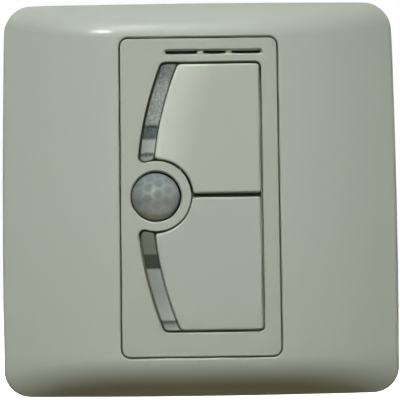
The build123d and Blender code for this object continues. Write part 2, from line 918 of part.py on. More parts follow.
def terminal_screw(x):
    low, high = terminal_head_heights
    head = post(x, terminal_screw_z, terminal_head, low, high)
    screw = head + post(x, terminal_screw_z, terminal_shank, high - lap, terminal_tip)
    return slotted(screw, x, terminal_screw_z, low - past, low + drive_deep, terminal_head)


def housing_screw(x, z):
    top = yoke_thick + screw_head_tall
    head = post(x, z, screw_head, yoke_thick, top)
    head = fillet(edges_at(head, top), screw_head_tall / 2)
    screw = head + post(x, z, shank_radius, yoke_thick - shank_long, yoke_thick + lap)
    return slotted(screw, x, z, top - drive_deep, top + past, screw_head)


# Boards and what sits on them


def board(size, cut, low):
    outline = chamfer(Rectangle(*size).vertices(), cut)
    return layer(outline, low, low + board_thick)


def pin_xs():
    return [header_x + header_pitch * (i - (header_count - 1) / 2) for i in range(header_count)]


def control_board():
    plate = board(control_size, control_cut, control_low)
    for x in pin_xs():
        plate -= post(x, header_z, pin_hole, control_low - past, control_top + past)
    for x, z in lead_places():
        plate -= post(x, z, lead_hole, control_low - past, control_top + past)
    return plate


def power_board():
    plate = board(power_size, power_cut, power_low)
    for x in pin_xs():
        plate -= post(x, header_z, pin_hole, power_low - past, power_top + past)
    for x in terminal_xs():
        plate -= centred_block(x, terminal_screw_z, tag_hole, (power_low - past, power_top + past))
    for side in (-1, 1):
        x = varistor_place[0] + side * varistor_leads[0]
        plate -= post(x, varistor_place[1], varistor_hole, power_low - past, power_top + past)
    return plate


def header_blocks():
    """The two plastic strips that hold the long pins between the boards."""
    size = (header_pitch * header_count, header_block)
    strips = []
    for low in (power_top, control_low - header_block):
        strip = centred_block(header_x, header_z, size, (low, low + header_block))
        for x in pin_xs():
            hole = (low - past, low + header_block + past)
            strip -= centred_block(x, header_z, (pin_width, pin_width), hole)
        strips.append(strip)
    return strips


def header_pins():
    span = (power_low - pin_tail, control_top + pin_head)
    return [centred_block(x, header_z, (pin_width, pin_width), span) for x in pin_xs()]


def upper_tact_switch():
    """The body of the push switch under the button, with a bore for its stem."""
    top = control_top + tact_tall
    square = chamfer(Rectangle(tact_size, tact_size).vertices(), tact_corner)
    body = layer(at(presser_x, presser_z, square), control_top, top)
    reach, radius, tall = tact_rivet
    for x in (-reach, reach):
        for z in (-reach, reach):
            body += post(presser_x + x, presser_z + z, radius, top - lap, top + tall)
    return body - post(presser_x, presser_z, stem_radius + stem_clear, stem_bore_low, top + past)


def upper_tact_plunger():
    stem = post(presser_x, presser_z, stem_radius, *stem_heights)
    return fillet(edges_at(stem, stem_heights[1]), stem_edge)


def control_chip():
    """A small flat chip with its rows of bent leads."""
    long, wide, tall = chip_size
    x, z = chip_place
    lift = chip_lead[2]
    chip = centred_block(x, z, (long, wide), (control_top + lift / 2, control_top + tall))
    for i in range(chip_leads):
        lead_x = x + chip_pitch * (i - (chip_leads - 1) / 2)
        size = (chip_lead[0], wide + 2 * chip_lead[1])
        chip += centred_block(lead_x, z, size, (control_top, control_top + lift))
    return chip


def relay(x):
    wide, long, tall = relay_size
    case = centred_block(x, relay_z, (wide, long), (power_low - tall, power_low))
    return fillet(edges_at(case, power_low - tall), relay_edge)


def trafo_middle():
    return power_low - trafo_bobbin[2] / 2


def transformer_core():
    """A ferrite frame with a middle leg that the bobbin sits on."""
    x, z = trafo_place
    wide, tall, deep = trafo_core
    heights = (trafo_middle() - deep / 2, trafo_middle() + deep / 2)
    core = centred_block(x, z, (wide, tall), heights)
    window = (trafo_bobbin[1] - trafo_leg) / 2
    for side in (-1, 1):
        middle = z + side * (trafo_leg + window) / 2
        cut = (heights[0] - past, heights[1] + past)
        core -= centred_block(x, middle, (trafo_bobbin[0], window), cut)
    return core


def supply_transformer():
    """The wound bobbin of the supply transformer."""
    x, z = trafo_place
    wide, tall, deep = trafo_bobbin
    bobbin = centred_block(x, z, (wide, tall), (power_low - deep, power_low))
    leg_heights = (trafo_middle() - trafo_core[2] / 2, trafo_middle() + trafo_core[2] / 2)
    return bobbin - centred_block(x, z, (wide + past, trafo_leg), leg_heights)


def line_capacitor():
    wide, long, tall = line_cap_size
    case = centred_block(*line_cap_place, (wide, long), (power_low - tall, power_low))
    return fillet(edges_at(case, power_low - tall), relay_edge)


def smoothing_capacitor():
    """A round can with the crimped neck near its foot."""
    top = power_low - can_cap_tall
    can = post(*can_cap_place, can_cap_radius, top, power_low)
    place, deep = can_cap_neck
    collar = Circle(can_cap_radius + past) - Circle(can_cap_radius - deep)
    can -= layer(at(*can_cap_place, collar), power_low - place - deep, power_low - place)
    return fillet(edges_at(can, top), relay_edge)


def line_fuse():
    fuse = post(*fuse_place, fuse_radius, power_low - fuse_tall, power_low)
    return fillet(edges_at(fuse, power_low - fuse_tall), relay_edge)


def surge_varistor():
    """A coated disc that stands on two wire leads."""
    x, z = varistor_place
    height = power_low - varistor_lift - varistor_radius
    start = Plane(origin=(x, -height, z - varistor_thick / 2), x_dir=(1, 0, 0), z_dir=(0, 0, 1))
    disc = extrude(start * Circle(varistor_radius), amount=varistor_thick)
    disc = fillet(disc.edges(), varistor_thick / 4)
    for side in (-1, 1):
        disc += post(x + side * varistor_leads[0], z, varistor_leads[1], height, power_top + pin_tail)
    return disc


def build():
    os.makedirs("parts", exist_ok=True)
    save("face_frame", face_frame())
    save("mounting_yoke", mounting_yoke())
    save("centre_panel", centre_panel())
    save("upper_button", button(button_gap / 2 + split_z, upper_cut))
    save("lower_button", mirrored(button(button_gap / 2 - split_z, lower_cut)))
    pairs = {
        "light_window": upper_light_window(),
        "reflector": upper_reflector(),
        "indicator_led": upper_indicator_led(),
        "tact_switch": upper_tact_switch(),
        "tact_plunger": upper_tact_plunger(),
    }
    for name, solid in pairs.items():
        save(f"upper_{name}", solid)
        save(f"lower_{name}", mirrored(solid))
    save("sensor_lens", sensor_lens())
    save("lens_seal", lens_seal())
    save("motion_sensor_can", sensor_can())
    save("motion_sensor_filter", sensor_filter())
    save("motion_sensor_leads", *sensor_leads())
    save("sensor_shroud", sensor_shroud())
    save("control_board", control_board())
    save("control_chip", control_chip())
    save("header_pins", *header_pins())
    for name, strip in zip(("lower_header_strip", "upper_header_strip"), header_blocks()):
        save(name, strip)
    save("power_board", power_board())
    for name, x in relay_places.items():
        save(name, relay(x))
    save("transformer_core", transformer_core())
    save("supply_transformer", supply_transformer())
    save("line_capacitor", line_capacitor())
    save("smoothing_capacitor", smoothing_capacitor())
    save("line_fuse", line_fuse())
    save("surge_varistor", surge_varistor())
    save("terminal_block", terminal_block())
    save("terminal_clamps", *[terminal_clamp(x) for x in terminal_xs()])
    save("terminal_screws", *[terminal_screw(x) for x in terminal_xs()])
    save("rear_housing", rear_housing())
    save("housing_screws", *[housing_screw(x, z) for x, z in corner_places()])


build()
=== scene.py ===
# %% [markdown]
# # Dressing a two-button wall switch
# The shapes of this switch come from its drawing in millimetres. This lesson gives them their
# looks: a satin moulded plate, clear strips with a stippled back, a milky dome of small lenses, and
# the boards and metal inside. First the drawn model is loaded as a fixed frame.

# %% Load the drawn model
import math
import bpy
from mathutils import Matrix, Vector


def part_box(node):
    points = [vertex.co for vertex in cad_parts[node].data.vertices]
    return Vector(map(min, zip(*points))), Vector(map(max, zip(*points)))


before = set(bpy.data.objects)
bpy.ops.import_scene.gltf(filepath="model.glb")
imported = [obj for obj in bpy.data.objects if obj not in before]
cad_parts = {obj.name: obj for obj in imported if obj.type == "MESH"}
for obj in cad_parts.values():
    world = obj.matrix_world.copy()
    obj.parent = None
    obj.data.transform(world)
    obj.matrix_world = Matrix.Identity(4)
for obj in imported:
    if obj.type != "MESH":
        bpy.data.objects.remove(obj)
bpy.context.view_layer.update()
print("pieces loaded:", len(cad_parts))

# %% [markdown]
# ## Colours and nodes
# Blender mixes light, so it wants linear colours, while a colour given here is an sRGB hex code.
# One function turns the code into linear numbers. A second one adds a node: plain words set the
# node's own choices, and the `inputs` are values or the outputs of other nodes. Every finish below
# comes down to these two. The view is set to Standard, so that a colour shows as it is written.

# %% A colour reader and a node adder
bpy.context.scene.view_settings.view_transform = "Standard"


def linear(code):
    """An sRGB hex code, such as #a7aa9f, as linear red, green, blue and alpha."""
    levels = [int(code[i : i + 2], 16) / 255 for i in (1, 3, 5)]
    curved = [v / 12.92 if v <= 0.04045 else ((v + 0.055) / 1.055) ** 2.4 for v in levels]
    return (*curved, 1.0)


def add(tree, kind, inputs=(), **settings):
    """Adds one node to a tree, with its settings, its values and its links."""
    node = tree.nodes.new("ShaderNode" + kind)
    for name, value in settings.items():
        setattr(node, name, value)
    for name, value in dict(inputs).items():
        if isinstance(value, bpy.types.NodeSocket):
            tree.links.new(value, node.inputs[name])
        else:
            node.inputs[name].default_value = value
    return node


print("plate grey in linear light:", [round(v, 3) for v in linear("#a7aa9f")])

# %% [markdown]
# ## Starting and finishing a material
# Every material needs an empty node tree, the place of each point on the switch, a shader
# and an output. The place comes from object coordinates. All pieces share one frame in
# metres, so a pattern keeps its real size on every piece and runs on from one piece to the
# next. `per_mm` turns a size in millimetres into a texture's scale. `wear` puts a finish
# on a piece.

# %% Material starter, finisher and dresser
MM = 0.001


def start(name):
    """An empty material, its tree and the output that gives each point's place."""
    material = bpy.data.materials.new(name)
    material.use_nodes = True
    tree = material.node_tree
    tree.nodes.clear()
    return material, tree, add(tree, "TexCoord").outputs["Object"]


def finish(tree, inputs):
    """Adds the shader with its values and links, and joins it to the output."""
    shader = add(tree, "BsdfPrincipled", inputs)
    add(tree, "OutputMaterial", {"Surface": shader.outputs[0]})


def per_mm(size):
    """The scale that gives a texture a size in millimetres."""
    return 1 / (size * MM)


def wear(node_name, material):
    """Gives a drawn piece its material on every one of its slots."""
    for material_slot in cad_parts[node_name].material_slots:
        material_slot.material = material


print("a pattern of 0.3 mm has a scale of", round(per_mm(0.3)))

# %% [markdown]
# ## Saying where
# Several pieces are one solid but two finishes: a chip has a resin body and tin legs, a
# lamp has a white case and a yellow cup. They could be cut into more pieces. It is simpler
# to ask each point where it is. `slab` answers 1 between two places along one axis, and
# `disc` answers 1 inside a circle seen from the front. Both are given in millimetres.

# %% Masks by place


def slab(tree, place, axis, low, high):
    """1 where a point lies between two places, in millimetres, along X, Y or Z."""
    along = add(tree, "SeparateXYZ", {"Vector": place}).outputs[axis]
    middle, half = (low + high) / 2 * MM, (high - low) / 2 * MM
    return add(tree, "Math", {0: along, 1: middle, 2: half}, operation="COMPARE").outputs[0]


def from_axis(tree, place, x, z):
    """How far, in metres, a point is from a line through x and z that runs to the wall."""
    flat = add(tree, "VectorMath", {0: place, 1: (1, 0, 1)}, operation="MULTIPLY")
    centre = (x * MM, 0, z * MM)
    gap = add(tree, "VectorMath", {0: flat.outputs["Vector"], 1: centre}, operation="DISTANCE")
    return gap.outputs["Value"]


def disc(tree, place, x, z, radius):
    """1 where a point lies inside a circle, seen from the front."""
    gap = from_axis(tree, place, x, z)
    return add(tree, "Math", {0: gap, 1: radius * MM}, operation="LESS_THAN").outputs[0]


def all_of(tree, first, *others):
    """1 only where every mask is 1."""
    for other in others:
        first = add(tree, "Math", {0: first, 1: other}, operation="MULTIPLY").outputs[0]
    return first


def middle_of(node_name):
    """The middle of a drawn piece, in millimetres."""
    low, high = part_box(node_name)
    return [(a + b) / 2 / MM for a, b in zip(low, high)]


print("dome's middle, mm:", [round(v, 2) for v in middle_of("sensor_lens")])

# %% [markdown]
# ## Moulded plastic
# The plate, the insert and the buttons are ABS, injected into a tool whose walls were
# lightly spark-eroded. That gives the eye a satin surface: a broad soft highlight, and a
# grain too fine to count. The grain could be a picture, but a noise texture has no seams
# and no size limit. Two noises do it: a fine one for the grain, which only tilts the
# surface a little, and a slow one that shifts the colour and the gloss by a few percent, as
# moulded parts are never perfectly even. ABS has an index of refraction of about 1.53. The
# real grain is about 0.1 mm wide. It is drawn three times as coarse, so that it shows.
#
# The peaks of the grain were polished in the tool and by use. They mirror a lamp more
# sharply than the rest, as the bright streak on the photographed plate shows. The face
# finishes say this with a smoother coat over a duller base.

# %% Moulded plastic
GRAIN_MM, GRAIN_TILT = 0.3, 0.03
DRIFT_MM, GLOSS_DRIFT = 16, 0.04
COAT_ROUGHNESS = 0.17


def moulded_plastic(name, colour, shade, rough=0.45, ior=1.53, coat=0.0, mirror=0.5):
    """A plastic that drifts between two close colours, with a fine moulded grain."""
    material, tree, place = start(name)
    slow = {"Vector": place, "Scale": per_mm(DRIFT_MM), "Detail": 3}
    drift = add(tree, "TexNoise", slow).outputs["Fac"]
    fine = {"Vector": place, "Scale": per_mm(GRAIN_MM), "Detail": 2}
    grain = add(tree, "TexNoise", fine).outputs["Fac"]
    tint = add(
        tree,
        "Mix",
        {"Factor": drift, "A": linear(colour), "B": linear(shade)},
        data_type="RGBA",
    )
    gloss = add(
        tree,
        "MapRange",
        {"Value": drift, "To Min": rough - GLOSS_DRIFT, "To Max": rough + GLOSS_DRIFT},
    )
    tilt = add(
        tree,
        "Bump",
        {"Height": grain, "Strength": GRAIN_TILT, "Distance": GRAIN_MM * MM},
    )
    finish(
        tree,
        {
            "Base Color": tint.outputs["Result"],
            "Roughness": gloss.outputs["Result"],
            "IOR": ior,
            "Specular IOR Level": mirror,
            "Coat Weight": coat,
            "Coat Roughness": COAT_ROUGHNESS,
            "Normal": tilt.outputs["Normal"],
        },
    )
    return material


FACE = {"rough": 0.5, "coat": 0.8, "mirror": 0.3}
plate = moulded_plastic("satin_abs_plate", "#a7aba0", "#a3a89c", **FACE)
insert = moulded_plastic("satin_abs_insert", "#a4a89c", "#a1a497", **FACE)
lower = moulded_plastic("satin_abs_lower_button", "#a6a99f", "#a2a59a", **FACE)
upper = moulded_plastic("satin_abs_upper_button", "#a7ab9f", "#a4a89b", **FACE)
wear("face_frame", plate)
wear("centre_panel", insert)
wear("lower_button", lower)
wear("upper_button", upper)
print("finishes in the face:", plate.name, insert.name, lower.name, upper.name)

# %% [markdown]
# ## Adding to a finish
# The face needs a few touches more: a leaning roll, a painted sheen, painted shade in the gaps,
# slots in painted shade. They could all be options of the function above, which would then be long.
# It is clearer to open the finished material again and to mix one more colour over what it has,
# where it is wanted.

# %% Open a material again


def reopen(material):
    """The tree of a finished material, and the output that gives each point's place."""
    tree = material.node_tree
    return tree, tree.nodes["Texture Coordinate"].outputs["Object"]


def paint_over(material, amount, code):
    """Mixes a colour over a finished material, by an amount from 0 to 1."""
    tree = material.node_tree
    base = tree.nodes["Principled BSDF"].inputs["Base Color"]
    colours = {"Factor": amount, "A": base.links[0].from_socket, "B": linear(code)}
    painted = add(tree, "Mix", colours, data_type="RGBA")
    tree.links.new(painted.outputs["Result"], base)


print("nodes in the plate's finish so far:", len(plate.node_tree.nodes))

# %% [markdown]
# ## The plate's lower roll
# In the photograph the lower slope of the plate darkens a little sooner than the drawn one
# does, as if it fell 1.1 mm deeper. A bump can say so without moving a point: its height
# is a smooth fall by that much between 34 and 42.5 mm below the middle. The height is
# worked out in metres, so the bump's own distance is 1. It goes in front of the grain's
# bump, so that the grain still lies on top of it.

# %% Lean the lower roll
FALL_MM = 1.1
FALL_FROM, FALL_TO = -34.0, -42.5

tree, place = reopen(plate)
fall = add(
    tree,
    "MapRange",
    {
        "Value": add(tree, "SeparateXYZ", {"Vector": place}).outputs["Z"],
        "From Min": FALL_TO * MM,
        "From Max": FALL_FROM * MM,
        "To Min": -FALL_MM * MM,
        "To Max": 0.0,
    },
    interpolation_type="SMOOTHSTEP",
)
lean = add(tree, "Bump", {"Height": fall.outputs["Result"], "Strength": 1.0, "Distance": 1.0})
tree.links.new(lean.outputs["Normal"], tree.nodes["Bump"].inputs["Normal"])
print("the lower roll leans over", FALL_FROM - FALL_TO, "mm")

# %% [markdown]
# ## The upper button's painted sheen
# The upper button is the same ABS, but its left edge, along the light strip, catches more light:
# the face bends forward there by a hair, too little to draw. A painted sheen, a lighter tone that
# fades out over 8 mm, stands in for that light. It follows the arc, whose centre lies 65.2 mm to
# the right, so it is a matter of the distance from that centre.

# %% The upper button
ARC_CENTRE_X = 65.2
BUTTON_ARC = 75.3
SHEEN_WIDTH = 8.0
PAINTED_SHEEN_TONE = "#bdc3b5"

# Painted sheen: the base colour is lightened towards the button's left arc edge.
tree, place = reopen(upper)
near_edge = add(
    tree,
    "MapRange",
    {
        "Value": from_axis(tree, place, ARC_CENTRE_X, 0),
        "From Min": (BUTTON_ARC - SHEEN_WIDTH) * MM,
        "From Max": BUTTON_ARC * MM,
    },
)
paint_over(upper, near_edge.outputs["Result"], PAINTED_SHEEN_TONE)
print("sheen ends", BUTTON_ARC - SHEEN_WIDTH, "mm from the arc's centre")

# %% [markdown]
# ## Painted shade in the gaps
# The lines round the insert and the buttons are olive in the photograph, not plain black. That
# olive is painted shade on the walls of the gaps. It could be laid by which way a wall faces, but
# tinting it by depth is simpler and enough, since all these walls lie below the faces. It ends
# where the gaps turn inwards, so that the backs of the pieces stay clean. On the plate it keeps to
# the insert's window, as the plate's slopes lie as deep, and it starts higher, since the window's
# rounded edge is olive too.

# %% Painted shade in the gaps
GAP_SHADE_TONE = "#a2a56e"
GAP_SHADE_STARTS, GAP_SHADE_FULL, GAP_SHADE_ENDS = -8.7, -8.1, -5.5
WINDOW_SHADE_STARTS, WINDOW_SHADE_FULL = -8.93, -8.55
WINDOW_HALF_X, WINDOW_HALF_Z = 17.9, 35.2


def paint_gap_shade(material, starts, full, tone=GAP_SHADE_TONE, only_window=False):
    """Mixes a painted olive shade over a finish wherever it lies deep in a gap."""
    tree, place = reopen(material)
    deep = add(
        tree,
        "MapRange",
        {
            "Value": add(tree, "SeparateXYZ", {"Vector": place}).outputs["Y"],
            "From Min": starts * MM,
            "From Max": full * MM,
        },
        interpolation_type="SMOOTHSTEP",
    )
    masks = [deep.outputs["Result"], slab(tree, place, "Y", starts, GAP_SHADE_ENDS)]
    if only_window:
        masks.append(slab(tree, place, "X", -WINDOW_HALF_X, WINDOW_HALF_X))
        masks.append(slab(tree, place, "Z", -WINDOW_HALF_Z, WINDOW_HALF_Z))
    paint_over(material, all_of(tree, *masks), tone)


# Painted shade: an olive tint on the deep walls of the gaps.
paint_gap_shade(plate, WINDOW_SHADE_STARTS, WINDOW_SHADE_FULL, only_window=True)
for face_material in (insert, lower, upper):
    paint_gap_shade(face_material, GAP_SHADE_STARTS, GAP_SHADE_FULL)
print("painted gap shade is full", round(GAP_SHADE_FULL - GAP_SHADE_STARTS, 2), "mm below where it starts")

# %% [markdown]
# ## The row of slots
# The three slots open into the dark box, and show as sharp black lines. The drawn ones let a little
# of the lamp's light fall on their lower walls. Painted shade, near black, on their walls stops
# that, from just behind the floor of the groove that the slots lie in, so the bridges stay grey.

# %% Slots in painted shade
SLOT_ROW = {"X": (-7.2, 13.5), "Z": (30.75, 31.45), "Y": (-8.45, -6.5)}
SLOT_SHADE_TONE = "#14140f"

# Painted shade: the walls of the slots are painted near black.
tree, place = reopen(insert)
walls = [slab(tree, place, axis, *limits) for axis, limits in SLOT_ROW.items()]
paint_over(insert, all_of(tree, *walls), SLOT_SHADE_TONE)
print("slots run over", round(SLOT_ROW["X"][1] - SLOT_ROW["X"][0], 1), "mm")

# %% [markdown]
# ## The dome's milky polyethylene
# The dome has to pass body heat, which glass and ABS stop, so it is thin natural
# polyethylene, moulded into nineteen small lenses. Light enters it, scatters and comes out
# a little further on, and the thicker valleys between the lenses scatter most, so they
# look lighter. The valleys could be painted as lines, but they would not sit on the drawn
# ones. So the nineteen directions are worked out again as in the drawing, and each point
# asks which two lenses it is nearest to. Where both are equally near, there is a valley.

# %% The directions of the nineteen lenses
DOME_CENTRE = Vector((-9.55, -5.763, 0)) * MM
DOME_RADIUS = 5.85
MIDDLE_LENS = (0.64, 0.34)
LENS_STEP = math.radians(24.5)
LENS_TURN = math.radians(24.0)


def lens_ways():
    """One direction in the middle and two rings about it, as the mould has them."""
    across, up = (v / DOME_RADIUS for v in MIDDLE_LENS)
    out = Vector((across, up, math.sqrt(1 - across**2 - up**2)))
    side = Vector((0, 1, 0)).cross(out).normalized()
    top = out.cross(side)
    steps = [(a, b) for a in range(-2, 3) for b in range(-2, 3) if abs(a + b) <= 2]
    for a, b in steps:
        ahead, beside = a + b / 2, b * math.sqrt(3) / 2
        turn = LENS_TURN + math.atan2(beside, ahead)
        lean_out = LENS_STEP * math.hypot(ahead, beside)
        flat = side * math.cos(turn) + top * math.sin(turn)
        way = out * math.cos(lean_out) + flat * math.sin(lean_out)
        yield Vector((way.x, -way.z, way.y))


print("lenses on the dome:", len(list(lens_ways())))

# %% [markdown]
# For each direction, a dot product says how near a point is to that lens. Two running
# values are kept, the nearest and the second nearest, and their difference is small only
# in the valleys.

# %% The valleys between the lenses
VALLEY_WIDTH = 0.045


def valleys(tree, place):
    """1 in the valleys between the lenses, fading to 0 on the lenses."""
    from_centre = add(tree, "VectorMath", {0: place, 1: DOME_CENTRE}, operation="SUBTRACT")
    outward = add(tree, "VectorMath", {0: from_centre.outputs["Vector"]}, operation="NORMALIZE")
    nearness = []
    for way in lens_ways():
        inputs = {0: outward.outputs["Vector"], 1: way}
        product = add(tree, "VectorMath", inputs, operation="DOT_PRODUCT")
        nearness.append(product.outputs["Value"])
    nearest, second = nearness[0], -1.0
    for here in nearness[1:]:
        lesser = add(tree, "Math", {0: nearest, 1: here}, operation="MINIMUM")
        keep = add(tree, "Math", {0: second, 1: lesser.outputs[0]}, operation="MAXIMUM")
        best = add(tree, "Math", {0: nearest, 1: here}, operation="MAXIMUM")
        nearest, second = best.outputs[0], keep.outputs[0]
    apart = add(tree, "Math", {0: nearest, 1: second}, operation="SUBTRACT")
    faded = add(
        tree,
        "MapRange",
        {"Value": apart.outputs[0], "From Max": VALLEY_WIDTH, "To Min": 1.0, "To Max": 0.0},
        interpolation_type="SMOOTHSTEP",
    )
    return faded.outputs["Result"]


print("two lenses are equally near in a valley, within", VALLEY_WIDTH)

# %% [markdown]
# Sky-coloured light from above makes the top of the dome bluish, and a warm reflection from below
# makes its bottom brownish. The dome also hardly darkens downwards, as light goes through its skin
# and comes out on the far side, lower right. Real volume scattering would do this by itself, but it
# is slow and grainy. So this light and shade is painted into the tone: it runs from blue-grey at
# the top to a light grey at the bottom, it grows lighter to the right, and a soft noise clouds it
# by an eighth.

# %% The dome's painted light and shade
DOME_TOP, DOME_MIDDLE, DOME_FOOT = "#707978", "#7d8480", "#d2d5d4"
FOOT_ENDS, MIDDLE_STARTS = -6.0, -0.9
MIDDLE_ENDS, TOP_STARTS = 0.5, 4.0
LEFT_SIDE, RIGHT_SIDE = -13.5, -5.5
LEFT_LIGHT, RIGHT_LIGHT = 0.84, 1.24
CLOUD_MM, CLOUD_LIGHT = 1.2, 0.12


def dome_painted_light(tree, place):
    """The dome's painted light and shade by height and by side, and a soft cloud."""
    height = add(tree, "SeparateXYZ", {"Vector": place}).outputs["Z"]
    level = add(
        tree,
        "MapRange",
        {"Value": height, "From Min": FOOT_ENDS * MM, "From Max": MIDDLE_STARTS * MM},
        interpolation_type="SMOOTHSTEP",
    )
    tone = add(
        tree,
        "Mix",
        {"Factor": level.outputs["Result"], "A": linear(DOME_FOOT), "B": linear(DOME_MIDDLE)},
        data_type="RGBA",
    )
    crown = add(
        tree,
        "MapRange",
        {"Value": height, "From Min": MIDDLE_ENDS * MM, "From Max": TOP_STARTS * MM},
    )
    shaded = add(
        tree,
        "Mix",
        {"Factor": crown.outputs["Result"], "A": tone.outputs["Result"], "B": linear(DOME_TOP)},
        data_type="RGBA",
    )
    cloud = add(tree, "TexNoise", {"Vector": place, "Scale": per_mm(CLOUD_MM), "Detail": 2})
    clouded = add(
        tree,
        "MapRange",
        {"Value": cloud.outputs["Fac"], "To Min": 1 - CLOUD_LIGHT, "To Max": 1 + CLOUD_LIGHT},
    )
    far_side = add(
        tree,
        "MapRange",
        {
            "Value": add(tree, "SeparateXYZ", {"Vector": place}).outputs["X"],
            "From Min": LEFT_SIDE * MM,
            "From Max": RIGHT_SIDE * MM,
            "To Min": LEFT_LIGHT,
            "To Max": RIGHT_LIGHT,
        },
    )
    both = add(
        tree,
        "Math",
        {0: clouded.outputs["Result"], 1: far_side.outputs["Result"]},
        operation="MULTIPLY",
    )
    uneven = add(
        tree,
        "VectorMath",
        {0: shaded.outputs["Result"], "Scale": both.outputs[0]},
        operation="SCALE",
    )
    return uneven.outputs["Vector"]


print("the dome is lighter on the right by", round(RIGHT_LIGHT / LEFT_LIGHT, 2), "times")

# %% [markdown]
# The valleys are a paler copy of the tone: partly the skin's stronger scattering, partly painted
# highlight, which is strongest round a spot a little above the middle, where three of them meet in
# a pale painted star. A bevel rounds the light over their sharp creases, as a mould is never
# perfectly sharp, and there it catches the small lamp. Natural polyethylene has an index of
# refraction of about 1.51.

# %% Milky polyethylene
STAR = (-9.9, 1.3)
STAR_EDGE, STAR_REACH = 0.5, 4.2
STRONGEST, WEAKEST = 0.7, 0.2
PALER = 1.6
CREASE_MM = 0.4


def milky_polyethylene():
    """A milky skin with pale valleys and rounded creases."""
    material, tree, place = start("milky_polyethylene_dome")
    tone = dome_painted_light(tree, place)
    # Painted highlight: the valleys are paler, most of all round the star.
    strong = add(
        tree,
        "MapRange",
        {
            "Value": from_axis(tree, place, *STAR),
            "From Min": STAR_EDGE * MM,
            "From Max": STAR_REACH * MM,
            "To Min": STRONGEST,
            "To Max": WEAKEST,
        },
    )
    lines = add(
        tree,
        "Math",
        {0: valleys(tree, place), 1: strong.outputs["Result"]},
        operation="MULTIPLY",
    )
    paler = add(tree, "VectorMath", {0: tone, "Scale": PALER}, operation="SCALE")
    tint = add(
        tree,
        "Mix",
        {"Factor": lines.outputs[0], "A": tone, "B": paler.outputs["Vector"]},
        data_type="RGBA",
    )
    rounded = add(tree, "Bevel", {"Radius": CREASE_MM * MM}, samples=8)
    finish(
        tree,
        {
            "Base Color": tint.outputs["Result"],
            "Roughness": 0.11,
            "IOR": 1.51,
            "Normal": rounded.outputs["Normal"],
            "Subsurface Weight": 0.5,
            "Subsurface Radius": (1.0, 0.95, 0.9),
            "Subsurface Scale": 1.5 * MM,
        },
    )
    return material


dome = milky_polyethylene()
wear("sensor_lens", dome)
print("nodes in the dome's finish:", len(dome.node_tree.nodes))

# %% [markdown]
# ## The dark ring round the dome
# The black line round the dome is the shade in the gap round it. A near-black ring stands there for
# that shade, with the look of foam rubber: full of small cells, so it mirrors nothing and looks
# almost black from any side. Its cells, 0.3 mm wide, are a Voronoi texture that tilts the surface
# and makes their walls a little lighter.

# %% A near-black ring for the shade round the dome
FOAM_CELL_MM = 0.3


def dark_gap_ring():
    """A near-black ring for the shade in the gap, with small open cells."""
    material, tree, place = start("black_ring_for_gap_shade")
    cells = add(tree, "TexVoronoi", {"Vector": place, "Scale": per_mm(FOAM_CELL_MM)})
    cell_walls = cells.outputs["Distance"]
    tone = add(
        tree,
        "Mix",
        {"Factor": cell_walls, "A": linear("#050505"), "B": linear("#191918")},
        data_type="RGBA",
    )
    tilt = add(tree, "Bump", {"Height": cell_walls, "Strength": 0.5, "Distance": 0.1 * MM})
    finish(
        tree,
        {"Base Color": tone.outputs["Result"], "Roughness": 0.95, "Normal": tilt.outputs["Normal"]},
    )
    return material


wear("lens_seal", dark_gap_ring())
print("cells to a centimetre of foam:", round(10 / FOAM_CELL_MM))

# %% [markdown]
# ## The light strips
# The strips are clear acrylic, with the back stippled so that the lamps' light spreads. A real
# stipple is thousands of tiny dimples that throw the light back. Drawing them would need a lot of
# geometry, and true refraction through them would be slow and noisy. Seen from the front the strip
# only shows grey bands, for what lies behind it as it is lit and shaded: the rim, the lit end of
# the white tray, the dark seat of the lamp, the stipple, the end wall. So each strip is painted
# with those bands by height, as painted light and shade: zones in millimetres from the switch's
# middle line, with a colour ramp that is level over each zone and slopes between two of them.

# %% Zones of the two strips
# Painted light and shade: the lit tray, the shadows of the rim and end wall, and the shade in the
# lamp's seat.
UPPER_ZONES = {
    "rim by the dome": (7.4, 8.6, "#7b827a"),
    "shadow of the rim": (8.9, 9.2, "#444b43"),
    "lit end of the tray": (9.6, 12.1, "#91978f"),
    "seat of the lamp": (12.5, 14.6, "#4a5553"),
    "edge of the seat": (14.9, 15.1, "#222a28"),
    "stipple over the tray": (15.5, 24.0, "#858b85"),
    "far end of the tray": (26.0, 28.6, "#676c67"),
}
LOWER_ZONES = {
    "rim by the dome": (7.4, 12.1, "#62665a"),
    "seat of the lamp": (12.5, 15.2, "#333833"),
    "stipple by the lamp": (15.6, 21.0, "#848983"),
    "far end of the stipple": (25.2, 26.2, "#979c95"),
    "shadow of the end wall": (26.6, 26.9, "#4d5047"),
    "end wall": (27.4, 27.7, "#80847a"),
    "rim at the end": (28.1, 28.6, "#979b90"),
}


def bands_by_height(tree, height, zones):
    """A colour for each height, level over every zone."""
    edges = [(edge, code) for low, high, code in zones.values() for edge in (low, high)]
    (foot, foot_code), (top, top_code) = edges[0], edges[-1]
    along = add(tree, "MapRange", {"Value": height, "From Min": foot * MM, "From Max": top * MM})
    bands = add(tree, "ValToRGB", {"Fac": along.outputs["Result"]})
    stops = bands.color_ramp.elements
    stops[0].color = linear(foot_code)
    stops[1].color = linear(top_code)
    for edge, code in edges[1:-1]:
        stops.new((edge - foot) / (top - foot)).color = linear(code)
    return bands.outputs["Color"]


print("bands on the upper strip:", ", ".join(UPPER_ZONES))

# %% [markdown]
# The stipple glitters and is mottled. Its dimples are the cells of a Voronoi texture. Each
# cell has a random value, and the cells with a high one sparkle. A noise does the mottling.
# On the upper strip the same noise shifts the edges of the bands, since the stipple breaks
# up what is seen through it. The ends by the dome are not stippled, so their light is even.

# %% Stipple
STIPPLE_FROM, STIPPLE_BLUR = 12.4, 0.2
BLOTCH_MM, DIMPLE_MM = 0.5, 0.4
SPARKLE_ABOVE = 0.6
EVEN_SPARKLE = 0.2


